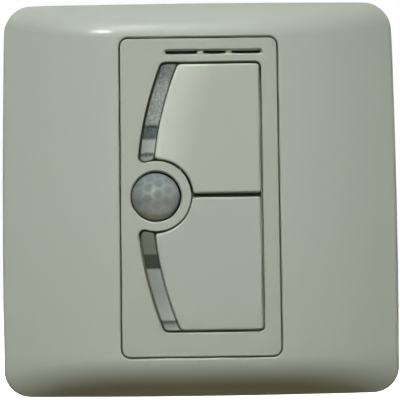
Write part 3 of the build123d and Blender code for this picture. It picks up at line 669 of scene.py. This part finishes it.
def stipple_light(tree, height, blotch, dimples, sparkle, mottle):
    """How light the stipple makes each point, and one even value where there is none."""
    # Painted glint: the cells with a high value are painted lighter.
    glint = add(
        tree,
        "MapRange",
        {"Value": dimples, "From Min": SPARKLE_ABOVE, "To Min": 0.0, "To Max": sparkle},
    )
    mottling = add(
        tree,
        "MapRange",
        {"Value": blotch, "To Min": 1 - mottle, "To Max": 1 + mottle},
    )
    rough_light = add(tree, "Math", {0: glint.outputs["Result"], 1: mottling.outputs["Result"]})
    stippled = add(
        tree,
        "MapRange",
        {
            "Value": height,
            "From Min": (STIPPLE_FROM - STIPPLE_BLUR) * MM,
            "From Max": (STIPPLE_FROM + STIPPLE_BLUR) * MM,
        },
    )
    even = 1 + sparkle * EVEN_SPARKLE
    apart = add(tree, "Math", {0: rough_light.outputs[0], 1: even}, operation="SUBTRACT")
    light = add(
        tree,
        "Math",
        {0: apart.outputs[0], 1: stippled.outputs["Result"], 2: even},
        operation="MULTIPLY_ADD",
    )
    return light.outputs[0]


print("the stipple starts", STIPPLE_FROM, "mm from the middle line")

# %% [markdown]
# A clear coat on top gives the gloss, and the tone changes a little from the right edge of the
# strip to the left one. The sides of the strips get painted shade as the other gaps do.
# Acrylic has an index of refraction of 1.49.

# %% Stippled acrylic
STRIP_RIGHT_ARC, STRIP_LEFT_ARC = 75.4, 78.4
RIGHT_EDGE_TONE = 1.1
STRIP_SHADE_STARTS, STRIP_SHADE_FULL = -8.55, -8.3
STRIP_SHADE_TONE = "#67694f"


def stippled_acrylic(name, zones, sparkle, mottle, left_edge_tone, ragged):
    """Clear acrylic over a stippled back, with grey bands by height."""
    material, tree, place = start(name)
    mottled = {"Vector": place, "Scale": per_mm(BLOTCH_MM), "Detail": 3}
    blotch = add(tree, "TexNoise", mottled).outputs["Fac"]
    shift = add(
        tree,
        "MapRange",
        {"Value": blotch, "To Min": -ragged * MM, "To Max": ragged * MM},
    )
    up = add(tree, "SeparateXYZ", {"Vector": place}).outputs["Z"]
    height = add(tree, "Math", {0: up}, operation="ABSOLUTE")
    broken = add(tree, "Math", {0: height.outputs[0], 1: shift.outputs["Result"]}).outputs[0]
    across = add(
        tree,
        "MapRange",
        {
            "Value": from_axis(tree, place, ARC_CENTRE_X, 0),
            "From Min": STRIP_RIGHT_ARC * MM,
            "From Max": STRIP_LEFT_ARC * MM,
            "To Min": RIGHT_EDGE_TONE,
            "To Max": left_edge_tone,
        },
    )
    shaded = add(
        tree,
        "VectorMath",
        {0: bands_by_height(tree, broken, zones), "Scale": across.outputs["Result"]},
        operation="SCALE",
    )
    dimples = add(tree, "TexVoronoi", {"Vector": place, "Scale": per_mm(DIMPLE_MM)})
    light = stipple_light(tree, broken, blotch, dimples.outputs["Color"], sparkle, mottle)
    lit = add(tree, "VectorMath", {0: shaded.outputs["Vector"], "Scale": light}, operation="SCALE")
    tilt = add(
        tree,
        "Bump",
        {"Height": dimples.outputs["Distance"], "Strength": 0.15, "Distance": 0.1 * MM},
    )
    finish(
        tree,
        {
            "Base Color": lit.outputs["Vector"],
            "Roughness": 0.5,
            "IOR": 1.49,
            "Coat Weight": 0.3,
            "Coat Roughness": 0.12,
            "Normal": tilt.outputs["Normal"],
        },
    )
    paint_gap_shade(material, STRIP_SHADE_STARTS, STRIP_SHADE_FULL, STRIP_SHADE_TONE)
    return material


UPPER_STIPPLE = {"sparkle": 0.8, "mottle": 0.75, "left_edge_tone": 0.75, "ragged": 0.6}
LOWER_STIPPLE = {"sparkle": 0.05, "mottle": 0.1, "left_edge_tone": 0.92, "ragged": 0.0}
upper_strip = stippled_acrylic("stippled_upper_strip", UPPER_ZONES, **UPPER_STIPPLE)
lower_strip = stippled_acrylic("stippled_lower_strip", LOWER_ZONES, **LOWER_STIPPLE)
wear("upper_light_window", upper_strip)
wear("lower_light_window", lower_strip)
print("the strips are", round(STRIP_LEFT_ARC - STRIP_RIGHT_ARC, 1), "mm wide")

# %% [markdown]
# ## Mouldings inside
# The plastics inside are made like the face, only in other colours and with other gloss.
# The trays behind the strips are white, to throw the light forward. The sleeve round the
# sensor is black, so that it sees only what the dome shows it. Relay cases are a glossy
# blue polyester, the line capacitor's case is yellow, and pins stand in black nylon. Nylon
# and polyester have an index of about 1.55. One function serves them all, which also keeps
# their grain the same size.

# %% Inner mouldings
NYLON_IOR = 1.55
INNER_MOULDINGS = {
    "upper_reflector": ("white_tray_upper", "#e9eae6", "#e2e3de", 0.35),
    "lower_reflector": ("white_tray_lower", "#e9eae6", "#e2e3de", 0.35),
    "sensor_shroud": ("black_sensor_sleeve", "#151616", "#1b1c1c", 0.6),
    "upper_tact_plunger": ("black_stem_upper", "#1a1a1b", "#202021", 0.32),
    "lower_tact_plunger": ("black_stem_lower", "#1a1a1b", "#202021", 0.32),
    "upper_header_strip": ("black_nylon_upper", "#1c1c1d", "#232324", 0.5),
    "lower_header_strip": ("black_nylon_lower", "#1c1c1d", "#232324", 0.5),
    "first_relay": ("blue_relay_case_left", "#213f86", "#1d387a", 0.24),
    "second_relay": ("blue_relay_case_right", "#213f86", "#1d387a", 0.24),
    "line_capacitor": ("yellow_capacitor_case", "#c4a436", "#b8992f", 0.35),
    "line_fuse": ("black_fuse_case", "#191a1c", "#212224", 0.38),
}
for node_name, recipe in INNER_MOULDINGS.items():
    wear(node_name, moulded_plastic(*recipe, ior=NYLON_IOR))
print("mouldings inside:", len(INNER_MOULDINGS))

# %% [markdown]
# ## Glass-filled plastic
# The carrier, the box and the terminal block are nylon with a third of short glass fibres,
# as they must hold screws and stand a flame. The fibres come up as fine dashes, and the
# melt leaves long pale flow lines. The dashes could be drawn with a wave texture, but
# those run on for ever. A noise that is stretched along the flow breaks up by itself. A
# second noise, much larger, gives the flow lines. The flow runs up and down, along Z.

# %% Glass-filled nylon
FIBRE_MM, FLOW_MM = 0.2, 9
FLOW_SCALE = (1, 1, 0.12)
PALE_FROM, PALE_FULL = 0.12, 0.42


def glass_filled(name, colour, pale):
    """Nylon with fine dashes of glass and long pale flow lines."""
    material, tree, place = start(name)
    flow = add(tree, "Mapping", {"Vector": place, "Scale": FLOW_SCALE}).outputs["Vector"]
    dashes = {"Vector": flow, "Scale": per_mm(FIBRE_MM), "Detail": 2}
    fibres = add(tree, "TexNoise", dashes).outputs["Fac"]
    flow_lines = {"Vector": flow, "Scale": per_mm(FLOW_MM), "Detail": 4, "Distortion": 0.6}
    streams = add(tree, "TexNoise", flow_lines).outputs["Fac"]
    both = add(tree, "Math", {0: fibres, 1: streams}, operation="MULTIPLY")
    amount = add(
        tree,
        "MapRange",
        {"Value": both.outputs[0], "From Min": PALE_FROM, "From Max": PALE_FULL},
    )
    tint = add(
        tree,
        "Mix",
        {"Factor": amount.outputs["Result"], "A": linear(colour), "B": linear(pale)},
        data_type="RGBA",
    )
    gloss = add(tree, "MapRange", {"Value": streams, "To Min": 0.5, "To Max": 0.66})
    tilt = add(tree, "Bump", {"Height": fibres, "Strength": 0.12, "Distance": FIBRE_MM * MM})
    finish(
        tree,
        {
            "Base Color": tint.outputs["Result"],
            "Roughness": gloss.outputs["Result"],
            "IOR": NYLON_IOR,
            "Normal": tilt.outputs["Normal"],
        },
    )
    return material


wear("mounting_yoke", glass_filled("grey_glass_filled_nylon", "#868986", "#999c98"))
wear("rear_housing", glass_filled("dark_glass_filled_nylon", "#454747", "#575959"))
wear("terminal_block", glass_filled("black_glass_filled_nylon", "#2b2d2e", "#3c3e3f"))
print("flow lines about", FLOW_MM, "mm wide")

# %% [markdown]
# ## Plated and bare metal
# Screws are steel with bright zinc, the sensor's can is drawn nickel-plated steel, the pins
# have a gold flash and the clamps are bare brass. Each keeps fine lines from the way it
# was made: turned screws have them round the shank, a drawn can has them up its side. A
# noise stretched ten times along the lines gives them, and it drives the roughness too,
# since a scratched place shines less. A metal takes its colour from its base colour, and
# the shader's own index of refraction is left alone.

# %% Metals
LINE_MM, TARNISH_MM = 0.12, 2.5
SMOOTHER, ROUGHER = 0.08, 0.1
ROUND_LINES = (0.1, 1, 0.1)
DRAWN_LINES = (1, 0.1, 1)


def metal(name, colour, dull, rough, line_scale):
    """A metal with fine lines, which run along the axes that have the small scale."""
    material, tree, place = start(name)
    run = add(tree, "Mapping", {"Vector": place, "Scale": line_scale}).outputs["Vector"]
    lines = add(tree, "TexNoise", {"Vector": run, "Scale": per_mm(LINE_MM)}).outputs["Fac"]
    cloudy = {"Vector": place, "Scale": per_mm(TARNISH_MM), "Detail": 3}
    tarnish = add(tree, "TexNoise", cloudy).outputs["Fac"]
    tint = add(
        tree,
        "Mix",
        {"Factor": tarnish, "A": linear(colour), "B": linear(dull)},
        data_type="RGBA",
    )
    gloss = add(
        tree,
        "MapRange",
        {"Value": lines, "To Min": rough - SMOOTHER, "To Max": rough + ROUGHER},
    )
    tilt = add(tree, "Bump", {"Height": lines, "Strength": 0.08, "Distance": LINE_MM * MM})
    finish(
        tree,
        {
            "Base Color": tint.outputs["Result"],
            "Metallic": 1.0,
            "Roughness": gloss.outputs["Result"],
            "Normal": tilt.outputs["Normal"],
        },
    )
    return material


METALS = {
    "housing_screws": ("zinc_plated_screws", "#c6c9cb", "#b3b6b7", 0.3, ROUND_LINES),
    "terminal_screws": ("zinc_plated_clamp_screws", "#c6c9cb", "#b1b4b4", 0.33, ROUND_LINES),
    "motion_sensor_can": ("nickel_plated_can", "#cfc9be", "#c0b9ad", 0.26, DRAWN_LINES),
    "motion_sensor_leads": ("gold_flash_leads", "#e8c877", "#dbb865", 0.25, DRAWN_LINES),
    "header_pins": ("gold_flash_pins", "#ecca78", "#dfbb66", 0.22, DRAWN_LINES),
    "terminal_clamps": ("bare_brass_clamps", "#d6b968", "#c0a152", 0.34, ROUND_LINES),
}
for node_name, recipe in METALS.items():
    wear(node_name, metal(*recipe))
print("metal pieces:", ", ".join(METALS))

# %% [markdown]
# ## Two finishes on one piece
# The finishes that follow mix two materials on one solid. `two_tone` takes a mask that is 0
# on the first and 1 on the second, and for each of the two a colour, a roughness and how
# metallic it is. It mixes values and not shaders, so one shader serves both and their edge
# stays sharp. A grain keeps both sides from looking painted. A finish can bring its own
# colour or its own tilt instead.

# %% Two finishes by a mask
TIN = ("#c3c5c4", 0.35, 1.0)
WORN_LIGHT = 0.12


def two_tone(
    tree, place, mask, first, second, grain_mm=0.3, bump=0.05, ior=1.5, colour=None, normal=None
):
    """Mixes (colour, roughness, metallic) of two finishes by a mask, with a shared grain."""
    fine = {"Vector": place, "Scale": per_mm(grain_mm), "Detail": 2}
    grain = add(tree, "TexNoise", fine).outputs["Fac"]
    if colour is None:
        tones = {"Factor": mask, "A": linear(first[0]), "B": linear(second[0])}
        tint = add(tree, "Mix", tones, data_type="RGBA").outputs["Result"]
        wear_range = {"Value": grain, "To Min": 1 - WORN_LIGHT, "To Max": 1 + WORN_LIGHT}
        worn = add(tree, "MapRange", wear_range).outputs["Result"]
        uneven = add(tree, "VectorMath", {0: tint, "Scale": worn}, operation="SCALE")
        colour = uneven.outputs["Vector"]
    if normal is None:
        bumps = {"Height": grain, "Strength": bump, "Distance": grain_mm * MM}
        normal = add(tree, "Bump", bumps).outputs["Normal"]
    gloss = add(tree, "MapRange", {"Value": mask, "To Min": first[1], "To Max": second[1]})
    shine = add(tree, "MapRange", {"Value": mask, "To Min": first[2], "To Max": second[2]})
    finish(
        tree,
        {
            "Base Color": colour,
            "Roughness": gloss.outputs["Result"],
            "Metallic": shine.outputs["Result"],
            "IOR": ior,
            "Normal": normal,
        },
    )


print("tin's colour, roughness and metalness:", TIN)

# %% [markdown]
# ## Circuit boards
# A board is glass laminate with copper tracks, under green lacquer. Over copper the lacquer
# looks lighter. The layout could be any, so a brick pattern stands in for it: long bricks
# are copper areas, and the joints between them are the bare gaps, 0.3 mm wide. Round
# tinned pads come from a Voronoi texture, wherever a point is within 0.35 mm of a cell's
# middle. Both patterns are flat ones that read X and Y, so the place is first turned by a
# quarter, to lay them on the board.

# %% Lacquered board
LACQUER = ("#1f6338", 0.3, 0.0)
BRICK_UNIT_MM = 10
AREA_LONG, AREA_HIGH, BARE_GAP = 9.0, 2.2, 0.3
PAD_PITCH, PAD_RADIUS = 3, 0.35
QUARTER_TURN = (math.pi / 2, 0, 0)


def lacquered_board(name):
    """Green lacquer over copper areas, with bare gaps and tinned pads."""
    material, tree, place = start(name)
    laid = add(tree, "Mapping", {"Vector": place, "Rotation": QUARTER_TURN}).outputs["Vector"]
    copper = add(
        tree,
        "TexBrick",
        {
            "Vector": laid,
            "Color1": linear(LACQUER[0]),
            "Color2": linear("#1b5831"),
            "Mortar": linear("#123f24"),
            "Scale": per_mm(BRICK_UNIT_MM),
            "Mortar Size": BARE_GAP / 2 / BRICK_UNIT_MM,
            "Brick Width": AREA_LONG / BRICK_UNIT_MM,
            "Row Height": AREA_HIGH / BRICK_UNIT_MM,
        },
    )
    spots = {"Vector": laid, "Scale": per_mm(PAD_PITCH)}
    from_middle = add(tree, "TexVoronoi", spots, voronoi_dimensions="2D").outputs["Distance"]
    near = {0: from_middle, 1: PAD_RADIUS / PAD_PITCH}
    pads = add(tree, "Math", near, operation="LESS_THAN").outputs[0]
    tinned = add(
        tree,
        "Mix",
        {"Factor": pads, "A": copper.outputs["Color"], "B": linear(TIN[0])},
        data_type="RGBA",
    )
    two_tone(tree, place, pads, LACQUER, TIN, bump=0.02, colour=tinned.outputs["Result"])
    return material


wear("control_board", lacquered_board("green_control_board"))
wear("power_board", lacquered_board("green_power_board"))
print("a pad for each", PAD_PITCH**2, "square mm of board")

# %% [markdown]
# ## Chip, push switches and lamps
# The chip's resin is matt black from ground quartz, and its legs are tin: they start
# 1.95 mm either side of its middle line. A push switch is a black case with a thin steel
# cover on its front. A lamp is a white case with a round cup of yellow phosphor. Each mask
# is measured from the piece's own box, so it stays right if a piece is moved.

# %% Small electronic pieces
CHIP_HALF_BODY = 1.95
SWITCH_COVER = 0.6
LAMP_CUP = 0.76
RESIN = ("#1b1b1c", 0.7, 0.0)
STEEL_COVER = ("#bfc1c1", 0.3, 1.0)
LAMP_CASE = ("#e8e7e0", 0.4, 0.0)
PHOSPHOR = ("#d9c84a", 0.6, 0.0)


def chip_finish():
    """A resin body between two rows of tin legs."""
    material, tree, place = start("resin_chip_with_tin_legs")
    z = middle_of("control_chip")[2]
    body = slab(tree, place, "Z", z - CHIP_HALF_BODY, z + CHIP_HALF_BODY)
    two_tone(tree, place, body, TIN, RESIN, grain_mm=0.08, bump=0.15, ior=1.6)
    return material


def switch_finish(name, node_name):
    """A black case behind a steel cover."""
    material, tree, place = start(name)
    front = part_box(node_name)[0][1] / MM
    cover = slab(tree, place, "Y", front, front + SWITCH_COVER)
    two_tone(tree, place, cover, RESIN, STEEL_COVER, grain_mm=0.15)
    return material


def lamp_finish(name, node_name):
    """A white case with a round cup of phosphor."""
    material, tree, place = start(name)
    x, _, z = middle_of(node_name)
    cup = disc(tree, place, x, z, LAMP_CUP)
    two_tone(tree, place, cup, LAMP_CASE, PHOSPHOR, grain_mm=0.1)
    return material


wear("control_chip", chip_finish())
wear("upper_tact_switch", switch_finish("push_switch_upper", "upper_tact_switch"))
wear("lower_tact_switch", switch_finish("push_switch_lower", "lower_tact_switch"))
wear("upper_indicator_led", lamp_finish("white_lamp_upper", "upper_indicator_led"))
wear("lower_indicator_led", lamp_finish("white_lamp_lower", "lower_indicator_led"))
print("chip's middle line, mm:", round(middle_of("control_chip")[2], 2))

# %% [markdown]
# ## Wound, dipped and sleeved parts
# The transformer's winding is wrapped in yellow tape between two black flanges. The can of
# the smoothing capacitor wears a black shrink sleeve that leaves a bare aluminium disc at
# its end. The surge varistor is a disc dipped in blue epoxy, with two tinned wires. All
# three are split by how far they lie behind the wall's surface.

# %% Power parts
FLANGE_MM = 1.0
TAPE_EDGE_MM = 30
CAN_DISC = 3.1
WIRES = (6.9, 10.7)
FLANGE = ("#1b1b1c", 0.5, 0.0)
TAPE = ("#c9a62c", 0.3, 0.0)
SLEEVE = ("#17191d", 0.25, 0.0)
ALUMINIUM = ("#d3d5d6", 0.32, 1.0)
EPOXY = ("#1c4c94", 0.2, 0.0)


def winding_finish():
    """Yellow tape between black flanges, with the edges of its layers."""
    material, tree, place = start("taped_winding")
    low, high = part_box("supply_transformer")
    near, far = low[1] / MM, high[1] / MM
    tape = slab(tree, place, "Y", near + FLANGE_MM, far - FLANGE_MM)
    waves = {"Vector": place, "Scale": per_mm(TAPE_EDGE_MM), "Distortion": 0.4}
    layers = add(tree, "TexWave", waves, bands_direction="Y").outputs["Fac"]
    edges = add(tree, "Bump", {"Height": layers, "Strength": 0.3, "Distance": 0.1 * MM})
    two_tone(tree, place, tape, FLANGE, TAPE, normal=edges.outputs["Normal"])
    return material


def sleeved_can_finish():
    """A black sleeve that leaves a bare disc at the far end."""
    material, tree, place = start("sleeved_aluminium_can")
    x, _, z = middle_of("smoothing_capacitor")
    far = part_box("smoothing_capacitor")[1][1] / MM
    at_end = slab(tree, place, "Y", far - 0.05, far + 0.05)
    bare = all_of(tree, at_end, disc(tree, place, x, z, CAN_DISC))
    two_tone(tree, place, bare, SLEEVE, ALUMINIUM, bump=0.03)
    return material


def dipped_disc_finish():
    """Thick blue epoxy, and tin where the wires come out."""
    material, tree, place = start("blue_epoxy_disc")
    wires = slab(tree, place, "Y", *WIRES)
    two_tone(tree, place, wires, EPOXY, TIN, grain_mm=1.2, bump=0.25, ior=1.56)
    return material


wear("supply_transformer", winding_finish())
wear("smoothing_capacitor", sleeved_can_finish())
wear("surge_varistor", dipped_disc_finish())
print("transformer's middle, mm:", [round(v, 2) for v in middle_of("supply_transformer")])

# %% [markdown]
# ## Ferrite and silicon
# The transformer's core is sintered ferrite, a dark grey ceramic with tiny pits, and a high
# index of about 2.3. The window of the sensor is a slip of polished silicon with a dark
# coating, smooth as a mirror with a violet tint. Its index is far higher, 3.4, which is
# why it must be coated at all.

# %% Ceramic core and sensor window
PIT_SPACING, PIT_RADIUS = 0.25, 0.05
CERAMIC = ("#3a3a3c", 0.55, 0.0)
PIT = ("#222223", 0.8, 0.0)
FILM_MM = 3
VIOLET_FILM = ("#352f3d", 0.06, 0.6)
BRONZE_FILM = ("#3b332f", 0.1, 0.6)


def sintered_ferrite():
    """A dark ceramic with tiny pits."""
    material, tree, place = start("sintered_ferrite")
    spots = {"Vector": place, "Scale": per_mm(PIT_SPACING)}
    from_middle = add(tree, "TexVoronoi", spots).outputs["Distance"]
    near = {0: from_middle, 1: PIT_RADIUS / PIT_SPACING}
    pits = add(tree, "Math", near, operation="LESS_THAN").outputs[0]
    two_tone(tree, place, pits, CERAMIC, PIT, grain_mm=0.2, bump=0.2, ior=2.3)
    return material


def coated_silicon():
    """A polished window whose film drifts between violet and bronze."""
    material, tree, place = start("coated_silicon_window")
    film = add(tree, "TexNoise", {"Vector": place, "Scale": per_mm(FILM_MM)}).outputs["Fac"]
    two_tone(tree, place, film, VIOLET_FILM, BRONZE_FILM, bump=0.0, ior=3.4)
    return material


wear("transformer_core", sintered_ferrite())
wear("motion_sensor_filter", coated_silicon())
dressed = [name for name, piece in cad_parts.items() if piece.material_slots[0].material]
print("pieces dressed:", len(dressed), "of", len(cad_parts))

# %% [markdown]
# ## Camera
# The photograph was taken from almost straight ahead, 25 cm away and a little below the
# middle. Place, turn and focal length were solved together from the corners of the plate
# and of its insert: a nearer camera bends the rows of corners more than they are, and a
# farther one less. The three turns are in radians, and each is less than four degrees.
# They turn a camera that looks straight at the wall, and give where its right, its down
# and its forward point. Blender's camera wants right, up and back, as columns.

# %% Camera
CAMERA_PLACE = Vector((-0.001583, -0.250, -0.016056))
PITCH, YAW, ROLL = -0.0630, -0.0065, -0.0127
FOCAL_PIXELS = 1129.96
PHOTO_PIXELS = 400
SENSOR_MM = 36

straight = Matrix(((1, 0, 0), (0, 0, -1), (0, 1, 0)))
roll, yaw = Matrix.Rotation(ROLL, 3, "Z"), Matrix.Rotation(YAW, 3, "Y")
right, down, forward = roll @ yaw @ Matrix.Rotation(PITCH, 3, "X") @ straight
turned = Matrix((right, -down, -forward)).transposed()
camera_data = bpy.data.cameras.new("photo_camera")
camera_data.sensor_width = SENSOR_MM
camera_data.lens = FOCAL_PIXELS / PHOTO_PIXELS * SENSOR_MM
camera_data.clip_start = 0.01
camera = bpy.data.objects.new("photo_camera", camera_data)
camera.matrix_world = Matrix.Translation(CAMERA_PLACE) @ turned.to_4x4()
bpy.context.scene.collection.objects.link(camera)
bpy.context.scene.camera = camera
print("focal length, mm:", round(camera_data.lens, 1))

# %% [markdown]
# ## Light
# The plate's own shading says where the lamp was. The top slope is the brightest, the face
# is a tenth darker, and the bottom slope, which faces down, is nearly black: so one lamp
# high in front, and almost nothing from below. The photograph also grows darker towards the
# plate's edges, more to the right. A soft box with a narrow spread does that: it throws a
# pool of light whose middle lies a little left of the switch's and above it.
#
# The bright streak on the top roll and the star on the dome are reflections of something small. One
# lamp cannot be both soft and small, so there are two. The soft box is hidden from reflections, and
# a small lamp beside it gives the streak and the star. On the dome the star is also a painted
# highlight in the valleys. Two more lamps behind only serve the back views.

# %% Lamps
AIM = Vector((-8, 0, 6)) * MM
LAMP_DISTANCE = 0.9


def lamp(name, azimuth, elevation, size, power, tint="#ffffff", spread=180):
    """A square lamp that looks at the switch from an azimuth and an elevation in degrees."""
    turn, rise = math.radians(azimuth), math.radians(elevation)
    level = math.cos(rise)
    away = Vector((math.sin(turn) * level, -math.cos(turn) * level, math.sin(rise)))
    data = bpy.data.lights.new(name, "AREA")
    data.size = size
    data.energy = power
    data.color = linear(tint)[:3]
    data.spread = math.radians(spread)
    light = bpy.data.objects.new(name, data)
    light.location = AIM + away * LAMP_DISTANCE
    light.rotation_mode = "QUATERNION"
    light.rotation_quaternion = (-away).to_track_quat("-Z", "Y")
    bpy.context.scene.collection.objects.link(light)
    return light


softbox = lamp("main_softbox", -5.5, 41, size=0.2, power=0.166, tint="#f8fbff", spread=16.2)
softbox.visible_glossy = False
lamp("small_lamp", -10.5, 28.5, size=0.05, power=0.95)
lamp("left_back_lamp", -140, 30, size=0.5, power=6)
lamp("right_back_lamp", 140, 30, size=0.5, power=6)
print("lamps:", ", ".join(light.name for light in bpy.data.lights))

# %% [markdown]
# ## Room and floor
# The photograph is cut out on white. A white room that also lit the switch would wash out
# the dark bottom slope. So the room is white only to the camera, and to what passes light.
# To everything else it gives a dim warm light, which tints the shadows, and a little more
# to mirrored rays, so that metal has something to mirror.

# %% Room
WARM_TONE, WARM_LIGHT = "#ffe49c", 0.056
MIRRORED_LIGHT = 0.12
WHITE, BLACK = linear("#ffffff"), linear("#000000")

world = bpy.data.worlds.new("studio_room")
world.use_nodes = True
bpy.context.scene.world = world
room = world.node_tree
room.nodes.clear()
rays = add(room, "LightPath").outputs
showing = {0: rays["Is Camera Ray"], 1: rays["Is Transmission Ray"]}
shown = add(room, "Math", showing, operation="MAXIMUM").outputs[0]
dim_room = add(room, "Background", {"Color": linear(WARM_TONE), "Strength": WARM_LIGHT})
mirrored = add(room, "Background", {"Color": WHITE, "Strength": MIRRORED_LIGHT})
white_room = add(room, "Background", {"Color": WHITE, "Strength": 1.0})
unseen_inputs = {0: rays["Is Glossy Ray"], 1: dim_room.outputs[0], 2: mirrored.outputs[0]}
unseen = add(room, "MixShader", unseen_inputs)
seen = add(room, "MixShader", {0: shown, 1: unseen.outputs[0], 2: white_room.outputs[0]})
add(room, "OutputWorld", {"Surface": seen.outputs[0]})
print("room nodes:", len(room.nodes))

# %% [markdown]
# The floor lies three centimetres below the switch, as the switch hangs free in the
# photograph. It is pale to the camera and keeps the shadow that falls on it. To the switch
# it is a dull brown, the colour that the photographed bottom slope has. Far from the lamps
# a floor would turn grey, and its end would show as a line. So it glows for the camera, from
# 12 cm out, and fully from half a metre.

# %% Floor
FLOOR_SIZE = 3.0
FLOOR_LEVEL = -0.075
FLOOR_TO_SWITCH, FLOOR_TO_CAMERA = "#6e6850", "#f4f4f2"
GLOW_FROM, GLOW_FULL, GLOW_LIGHT = 0.12, 0.5, 1.1

bpy.ops.mesh.primitive_plane_add(size=FLOOR_SIZE, location=(0, 0, FLOOR_LEVEL))
floor = bpy.context.object
floor.name = "studio_floor"
material, tree, place = start("pale_studio_floor")
to_camera = add(tree, "LightPath").outputs["Is Camera Ray"]
tone = add(
    tree,
    "Mix",
    {"Factor": to_camera, "A": linear(FLOOR_TO_SWITCH), "B": linear(FLOOR_TO_CAMERA)},
    data_type="RGBA",
)
paper = add(tree, "BsdfDiffuse", {"Color": tone.outputs["Result"]})
far = add(tree, "VectorMath", {0: place}, operation="LENGTH").outputs["Value"]
glow_range = {"Value": far, "From Min": GLOW_FROM, "From Max": GLOW_FULL, "To Max": GLOW_LIGHT}
glowing = add(tree, "MapRange", glow_range).outputs["Result"]
glow = add(tree, "Emission", {"Color": WHITE, "Strength": glowing})
no_glow = add(tree, "Emission", {"Color": BLACK, "Strength": 0.0})
lift = add(tree, "MixShader", {0: to_camera, 1: no_glow.outputs[0], 2: glow.outputs[0]})
surface = add(tree, "AddShader", {0: paper.outputs[0], 1: lift.outputs[0]})
add(tree, "OutputMaterial", {"Surface": surface.outputs[0]})
floor.data.materials.append(material)
print("floor at", FLOOR_LEVEL, "m")
